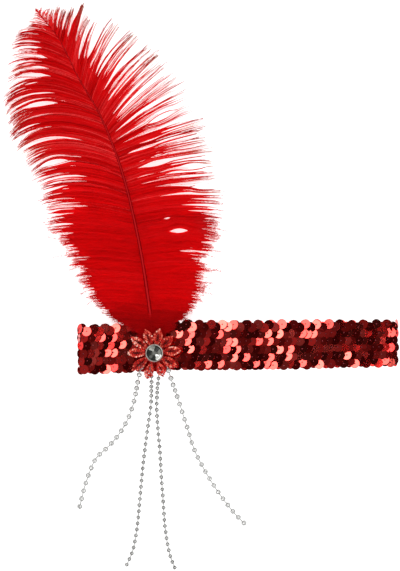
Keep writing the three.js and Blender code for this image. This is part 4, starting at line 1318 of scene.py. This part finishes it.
def make_vane(name, side, stretch, shaft, settings, rng):
    """The barbs of one side along a stretch of the shaft, with the cores of their strands."""
    strands = strands_of(side, shaft, rng)
    first, last = stretch["first"], stretch["last"]
    own = [strand for strand in strands if first <= strand["low"] < last]
    barbs = [(*strand_core(strand, side, shaft), strand["tint"])
             for strand in own if strand["high"] < TUFT]
    count = round(settings.barbs * (last - first) * stretch["close"])
    for i in range(count):
        at = mix(first, last, (i + rng.uniform(0.1, 0.9)) / count)
        strand = next((one for one in strands if one["low"] <= at <= one["high"]), None)
        if strand is None or rng.uniform() < 0.4 * ease(0.88, 0.95, at):
            continue
        line, shares = trace_barb(strand, side, at, shaft, rng)
        loose = looseness(at)
        tint = strand["tint"] + rng.normal(0, mix(*BARB_TINT_RANGE, loose))
        tones = shares * mix(FLUFF["tone"], side["tone"], loose)
        barb = barb_tube(line, shares, tones, settings.barb_thickness / 2, BARB_TIP_RADIUS)
        crisp = ease(0.28, 0.5, at)
        outer = smooth_steps(shares, 0.35, 0.7)
        lengths = settings.barbule * mix(*HAIR_LENGTH, crisp)
        lengths = lengths * (1 - outer * mix(0.1, 0.75, crisp)) * fullness(line[:, :2])
        hair = barbules(line, tones, lengths, mix(*HAIR_SPACING, crisp) * MM, HAIR_RADIUS, rng)
        barbs += [(*barb, tint), (*hair, tint)]
    return joined_barbs(name, barbs)


class HEADBAND_OT_plume(bpy.types.Operator):
    """Grow the ostrich plume: its shaft, and the barbs on both sides of it"""
    bl_idname = "headband.plume"
    bl_label = "Plume"

    def execute(self, context):
        settings = context.scene.headband_plume
        shaft = Shaft()
        start = QUILL_START / shaft.length
        steps = [i / QUILL_STEPS for i in range(QUILL_STEPS + 1)]
        line = [shaft.point(mix(start, 1, share)) for share in steps]
        for place, share in zip(line, steps):
            place[2] += SHAFT_OVER_BARBS * ease(0.07, 0.12, mix(start, 1, share))
        radii = [mix(QUILL_RADIUS, QUILL_TIP_RADIUS, share) for share in steps]
        quill = tube("plume_shaft", line, radii, 3)
        # Painted light and shade: how much each point of the quill faces up, which the finish
        # paints paler.
        painted_top_light = [max(vertex.normal.z, 0) for vertex in quill.data.vertices]
        quill.data.attributes.new("painted_top_light", "FLOAT", "POINT").data.foreach_set("value", painted_top_light)
        settle(quill, "plume_shaft", shaft_material(), "plume", "ostrich_plume")
        barbs = barb_material(tuple(settings.deep), tuple(settings.edge))
        for word, side in SIDES.items():
            for k, stretch in enumerate(STRETCHES):
                name = f"barbs_{word}_{stretch['name']}"
                rng = np.random.default_rng(side["seed"] + k)
                vane = make_vane(name, side, stretch, shaft, settings, rng)
                settle(vane, name, barbs, "plume", "ostrich_plume")
        return {"FINISHED"}


# The flower

def loop_line(root, tip, width, height, blunt, count):
    """Points round a pointed loop along +Y, widest past its middle, the more so if blunt."""
    side = []
    for i in range(25):
        share = i / 24
        side.append((width / 2 * math.sin(math.pi * share ** blunt), mix(root, tip, share)))
    ring = side + [(-x, y) for x, y in reversed(side)]
    closed = np.array([(x, y, height) for x, y in ring])
    return resample(closed, count + 1)[:-1]


class HEADBAND_OT_petals(bpy.types.Operator):
    """String the loops of seed beads that make the petals"""
    bl_idname = "headband.petals"
    bl_label = "Petals"

    def execute(self, context):
        settings = context.scene.headband_flower
        rng = np.random.default_rng(23)
        bead = make_bead(settings.bead, 10, 7, 0.85)
        glass = seed_bead_material(tuple(settings.glass))
        for number, petal in enumerate(PETALS, 1):
            self.string_petal(settings, petal, number, bead, glass, rng)
        drop(bead)
        return {"FINISHED"}

    def string_petal(self, settings, petal, number, bead, glass, rng):
        tip = settings.petal_reach * petal["reach"] - settings.bead / 2
        root = PETAL_ROOT
        low = PETAL_BOTTOM + settings.bead / 2
        outer = settings.petal_width - settings.bead
        hanging = abs(petal["turn"] - 180) < HANGING_WITHIN
        # The loops' tints paint the inner loops darker than the outer one: painted shade inside
        # the petal.
        loops = [
            {"root": root, "tip": tip, "width": outer, "height": low,
             "tint": 0.6 if hanging else 0.72},
            {"root": root + 1.2 * MM, "tip": tip - 1.5 * MM, "width": outer - 2.3 * MM,
             "height": low + 0.4 * MM, "tint": 0.55 if hanging else 0.6},
            {"root": root + (8.4 if hanging else 2.4) * MM, "tip": tip - 2.8 * MM,
             "width": (1.9 if hanging else 0.3) * MM, "height": low - 0.1 * MM,
             "tint": 0.55 if hanging else 0.12},
        ]
        spin = Matrix.Rotation(-math.radians(petal["turn"]), 3, "Z")
        centre = Vector((FLOWER.x, FLOWER.y, 0))
        places, turns, tints = [], [], []
        for loop in loops:
            blunt = 1.9 if hanging else 1.25
            shape = loop["root"], loop["tip"], loop["width"], loop["height"], blunt
            fine = loop_line(*shape, 120)
            around = lengths_along(np.vstack([fine, fine[:1]]))[-1]
            count = max(4, round(around / (settings.bead * (0.74 if hanging else 0.84))))
            line = loop_line(*shape, count)
            for i, point in enumerate(line):
                ahead = Vector(line[(i + 1) % count]) - Vector(line[i - 1])
                wobble = Vector(rng.normal(0, 0.08, 3)) * MM
                places.append(centre + spin @ (Vector(point) + wobble))
                turns.append(turned_to(spin @ ahead, (0, 0, 1)))
                bright = petal["lit"] * ease(0.4, 0.9, point[1] / tip)
                tints.append(loop["tint"] + bright + rng.uniform(-0.25, 0.25))
        piece = strew(f"petal_{number:02d}_beads", bead, places, turns, [1.0] * len(places), tints)
        settle(piece, f"petal_{number:02d}_beads", glass, "seed_beads", f"petal_{number:02d}")
        smooth(piece, 80)


class HEADBAND_OT_stone(bpy.types.Operator):
    """Finish the felt, the silver cup and the cut stone"""
    bl_idname = "headband.stone"
    bl_label = "Stone and Setting"

    def execute(self, context):
        self.make_felt()
        self.make_cup()
        self.cut_stone()
        return {"FINISHED"}

    def cut_stone(self):
        """A round stone: a table in a ring of star facets, a steep crown and a pointed back."""
        deselect_all()
        radius = (STONE_HIGH[0] - STONE_LOW[0]) / 2
        girdle = STONE_LOW[2] + STONE_PAVILION
        centre = (FLOWER.x, FLOWER.y, girdle + STONE_GIRDLE / 2)
        bpy.ops.mesh.primitive_cylinder_add(
            vertices=STONE_SIDES, radius=radius, depth=STONE_GIRDLE, location=centre,
            rotation=(0, 0, math.radians(2)))
        stone = bpy.context.object
        crown = STONE_HIGH[2] - girdle - STONE_GIRDLE
        wide = 1.0
        for row in CROWN:
            pick_faces(stone, lambda face: face.normal.z > 0.99)
            share = row["width"] / wide
            bpy.ops.mesh.extrude_region_move(
                TRANSFORM_OT_translate={"value": (0, 0, crown * row["rise"])})
            bpy.ops.transform.resize(value=(share, share, 1), center_override=centre)
            bpy.ops.transform.rotate(
                value=math.pi / STONE_SIDES, orient_axis="Z", center_override=centre)
            bpy.ops.object.mode_set(mode="OBJECT")
            wide = row["width"]
        pick_faces(stone, lambda face: face.normal.z < -0.99)
        bpy.ops.mesh.extrude_region_move(
            TRANSFORM_OT_translate={"value": (0, 0, -STONE_PAVILION)})
        bpy.ops.transform.resize(value=(0.1, 0.1, 1), center_override=centre)
        bpy.ops.mesh.select_all(action="SELECT")
        bpy.ops.mesh.quads_convert_to_tris()
        bpy.ops.object.mode_set(mode="OBJECT")
        apply_place(stone)
        # Painted reflections: each facet's depth is the brightness painted on it, bright on the
        # lower right as a painted highlight and dark elsewhere.
        rng = np.random.default_rng(3)
        painted_lights = []
        for face in stone.data.polygons:
            off = Vector(face.center[:2]) - FLOWER
            bearing = math.degrees(math.atan2(off.y, off.x)) % 360
            depth = [facet["depth"] for facet in PAINTED_FACETS if facet["from"] <= bearing][-1]
            if off.length < TABLE_SHARE * radius:
                depth = TABLE_PAINTED_LIGHT
            painted_lights.append(depth * rng.choice([0.6, 1, 1.3]))
        stone.data.attributes.new("depth", "FLOAT", "FACE").data.foreach_set("value", painted_lights)
        settle(stone, "cut_stone", stone_material(), "stone", "rhinestone")

    def make_felt(self):
        """A felt disc on a stitched post."""
        deselect_all()
        radius = (BACKING_HIGH[0] - BACKING_LOW[0]) / 2
        centre = (FLOWER.x, FLOWER.y, BACKING_HIGH[2] - FELT_THICKNESS / 2)
        bpy.ops.mesh.primitive_cylinder_add(
            vertices=40, radius=radius, depth=FELT_THICKNESS, location=centre)
        felt = bpy.context.object
        pick_faces(felt, lambda face: face.normal.z < -0.9)
        bpy.ops.mesh.inset(thickness=radius - POST_RADIUS)
        post = BACKING_HIGH[2] - FELT_THICKNESS - BACKING_LOW[2]
        bpy.ops.mesh.extrude_region_move(TRANSFORM_OT_translate={"value": (0, 0, -post)})
        bpy.ops.object.mode_set(mode="OBJECT")
        edge = felt.modifiers.new("edge", "BEVEL")
        edge.width = 0.25 * MM
        edge.segments = 2
        apply_modifiers(felt)
        apply_place(felt)
        smooth(felt)
        material = knit_material("red_felt", (0.3, 0.006, 0.008), 2200.0)
        settle(felt, "felt_backing", material, "felt", "flower_backing")

    def make_cup(self):
        """The cup: a post, a dished floor and a rolled rim round the stone."""
        deselect_all()
        radius = (SETTING_HIGH[0] - SETTING_LOW[0]) / 2 - CUP_NARROWER
        stone_radius = (STONE_HIGH[0] - STONE_LOW[0]) / 2
        height = SETTING_HIGH[2] - CUP_FLOOR
        centre = (FLOWER.x, FLOWER.y, CUP_FLOOR + height / 2)
        bpy.ops.mesh.primitive_cylinder_add(
            vertices=48, radius=radius, depth=height, location=centre)
        cup = bpy.context.object
        pick_faces(cup, lambda face: face.normal.z > 0.9)
        bpy.ops.mesh.inset(thickness=radius - stone_radius - CUP_GAP)
        bpy.ops.mesh.extrude_region_move(
            TRANSFORM_OT_translate={"value": (0, 0, -CUP_LEDGE_DEPTH)})
        bpy.ops.mesh.inset(thickness=CUP_LEDGE_WIDTH)
        bpy.ops.mesh.extrude_region_move(
            TRANSFORM_OT_translate={"value": (0, 0, -CUP_DISH_DEPTH)})
        pick_faces(cup, lambda face: face.normal.z < -0.9)
        bpy.ops.mesh.inset(thickness=radius - CUP_POST_RADIUS)
        bpy.ops.mesh.extrude_region_move(
            TRANSFORM_OT_translate={"value": (0, 0, SETTING_LOW[2] - CUP_FLOOR)})
        bpy.ops.object.mode_set(mode="OBJECT")
        rim = cup.modifiers.new("rim", "BEVEL")
        rim.width = CUP_RIM
        rim.segments = 4
        apply_modifiers(cup)
        apply_place(cup)
        smooth(cup)
        material = silver_material("setting_silver", (0.5, 0.47, 0.43), 0.3, 0.8)
        settle(cup, "silver_cup", material, "setting", "stone_setting")


# The strings of beads

def strand_line(name, bead):
    """The string's line in space: over the band, and down on the floor past its edge."""
    flat = catmull([(x * MM, y * MM, 0) for x, y in STRAND_ROUTES[name]], STRAND_STEPS)
    for point in flat:
        from_post = math.hypot(point[0], point[1])
        over_band = BAND_TOP + OVER_BAND + bead / 2
        near = mix(POST_HEIGHT, over_band, ease(POST_RADIUS, FIRST_BEAD, from_post))
        point[2] = mix(near, OVER_FLOOR + bead / 2, ease(DROP_START, DROP_END, -point[1]))
    return flat + np.array([FLOWER.x, FLOWER.y, 0])


class HEADBAND_OT_strands(bpy.types.Operator):
    """String the four hanging strings of beads"""
    bl_idname = "headband.strands"
    bl_label = "Bead Strings"

    def execute(self, context):
        settings = context.scene.headband_strands
        rng = np.random.default_rng(41)
        clear = silver_material("clear_beads", (0.52, 0.52, 0.51), 0.12, 0.5)
        silver = silver_material("silver_beads", (0.36, 0.36, 0.35), 0.1, 0.8)
        thread = thread_material("pale_thread", (0.42, 0.42, 0.41))
        for name in STRAND_ROUTES:
            if "outer" in name:
                sizes = settings.outer_bead, settings.outer_pitch
                self.string_beads(name, *sizes, clear, "clear_beads", thread, rng)
            else:
                sizes = settings.inner_bead, settings.inner_pitch
                self.string_beads(name, *sizes, silver, "silver_beads", thread, rng)
        return {"FINISHED"}

    def string_beads(self, name, diameter, pitch, finish, slot, thread_finish, rng):
        line = strand_line(name, diameter)
        length = lengths_along(line)[-1]
        count = int((length - FIRST_BEAD - diameter / 2) / pitch) + 1
        start = length - diameter / 2 - (count - 1) * pitch
        places, turns, sizes, tints = [], [], [], []
        for i in range(count):
            distance = start + i * pitch
            place = Vector(point_at(line, distance))
            ahead = Vector(point_at(line, distance + 0.3 * MM)) - place
            places.append(place)
            turns.append(turned_to(ahead, (0, 0, 1)))
            sizes.append(rng.uniform(0.96, 1.03))
            tints.append(rng.uniform(0, 1))
        bead = make_bead(diameter, 16, 10, 1.0)
        piece = strew(f"{name}_beads", bead, places, turns, sizes, tints)
        smooth(piece, 80)
        settle(piece, f"{name}_beads", finish, slot, name)
        drop(bead)
        thread = tube(f"{name}_thread", line, [THREAD_RADIUS] * len(line), 1)
        settle(thread, f"{name}_thread", thread_finish, "thread", name)


# The stage

class HEADBAND_OT_stage(bpy.types.Operator):
    """Lay the pale floor, and set the lights and the camera"""
    bl_idname = "headband.stage"
    bl_label = "Stage"

    def execute(self, context):
        settings = context.scene.headband_stage
        self.lay_floor()
        self.set_world(context.scene)
        self.set_lights()
        self.set_camera(context.scene, settings)
        context.scene.view_settings.view_transform = "Standard"
        return {"FINISHED"}

    def lay_floor(self):
        deselect_all()
        bpy.ops.mesh.primitive_plane_add(size=6, location=(0, 0, FLOOR_HEIGHT))
        floor = bpy.context.object
        floor.name = "floor"
        floor.data.materials.append(floor_material())

    def set_world(self, scene):
        """A dim studio with paler patches, which the sequins mirror."""
        world = bpy.data.worlds.new("studio")
        world.use_nodes = True
        scene.world = world
        nodes, links = world.node_tree.nodes, world.node_tree.links
        place = nodes.new("ShaderNodeTexCoord")
        patches = nodes.new("ShaderNodeTexNoise")
        patches.inputs["Scale"].default_value = 8.0
        patches.inputs["Detail"].default_value = 2.0
        links.new(place.outputs["Generated"], patches.inputs["Vector"])
        ramp = colour_ramp(nodes, links, patches.outputs["Fac"], [
            (0.4, (0.028, 0.028, 0.028)), (0.5, (0.14, 0.14, 0.14)), (0.62, (0.52, 0.52, 0.52))])
        links.new(ramp.outputs["Color"], nodes["Background"].inputs["Color"])

    def set_lights(self):
        """Softboxes round the camera, the upper left one nearest to it, and one over it."""
        softboxes = [
            {"name": "lower_right", "turn": -38, "lean": 40, "size": 0.5, "away": 1.1},
            {"name": "upper_right", "turn": 50, "lean": 42, "size": 0.5, "away": 1.1},
            {"name": "upper_left", "turn": 142, "lean": 38, "size": 0.44, "away": 1.1},
            {"name": "lower_left", "turn": 225, "lean": 44, "size": 0.5, "away": 1.1},
            {"name": "overhead", "turn": 0, "lean": 0, "size": 0.19, "away": 1.7},
        ]
        for box in softboxes:
            light = bpy.data.lights.new(box["name"], "AREA")
            light.size = box["size"]
            light.energy = SOFTBOX_BRIGHTNESS * math.pi * box["size"] ** 2
            lamp = bpy.data.objects.new(box["name"], light)
            turn, lean = math.radians(box["turn"]), math.radians(box["lean"])
            away = Vector((math.sin(lean) * math.cos(turn), math.sin(lean) * math.sin(turn),
                           math.cos(lean)))
            lamp.location = PICTURE_MIDDLE + box["away"] * away
            lamp.rotation_euler = (-away).to_track_quat("-Z", "Y").to_euler()
            bpy.context.collection.objects.link(lamp)

    def set_camera(self, scene, settings):
        """Straight above, with the picture's middle where the photograph has it."""
        camera = bpy.data.cameras.new("camera")
        camera.sensor_width = 36
        camera.lens = 36 * settings.camera_height / settings.frame_height
        camera.clip_end = 20
        eye = bpy.data.objects.new("camera", camera)
        eye.location = PICTURE_MIDDLE + Vector((0, 0, settings.camera_height + SCALE_HEIGHT))
        bpy.context.collection.objects.link(eye)
        scene.camera = eye


class HEADBAND_PT_panel(bpy.types.Panel):
    """The headband's pieces and their sizes"""
    bl_label = "Headband"
    bl_idname = "HEADBAND_PT_panel"
    bl_space_type = "VIEW_3D"
    bl_region_type = "UI"
    bl_category = "Headband"

    def draw(self, context):
        layout = self.layout
        for title, settings, operators in PANEL_ROWS:
            box = layout.box()
            box.label(text=title)
            group = getattr(context.scene, settings)
            for name in group.__annotations__:
                box.prop(group, name)
            for operator in operators:
                box.operator(operator)


PANEL_ROWS = [
    ("Band", "headband_band", ("headband.elastic", "headband.sequins")),
    ("Plume", "headband_plume", ("headband.plume",)),
    ("Flower", "headband_flower", ("headband.petals", "headband.stone")),
    ("Bead Strings", "headband_strands", ("headband.strands",)),
    ("Stage", "headband_stage", ("headband.stage",)),
]

SETTINGS = {
    "headband_band": BandSettings,
    "headband_plume": PlumeSettings,
    "headband_flower": FlowerSettings,
    "headband_strands": StrandSettings,
    "headband_stage": StageSettings,
}

CLASSES = (
    *SETTINGS.values(),
    HEADBAND_OT_elastic,
    HEADBAND_OT_sequins,
    HEADBAND_OT_plume,
    HEADBAND_OT_petals,
    HEADBAND_OT_stone,
    HEADBAND_OT_strands,
    HEADBAND_OT_stage,
    HEADBAND_PT_panel,
)


def register():
    for cls in CLASSES:
        bpy.utils.register_class(cls)
    for name, group in SETTINGS.items():
        setattr(bpy.types.Scene, name, PointerProperty(type=group))


def unregister():
    for name in SETTINGS:
        delattr(bpy.types.Scene, name)
    for cls in reversed(CLASSES):
        bpy.utils.unregister_class(cls)


def main():
    register()
    bpy.ops.headband.stage()
    bpy.ops.headband.elastic()
    bpy.ops.headband.sequins()
    bpy.ops.headband.plume()
    bpy.ops.headband.petals()
    bpy.ops.headband.stone()
    bpy.ops.headband.strands()


if __name__ == "__main__":
    main()
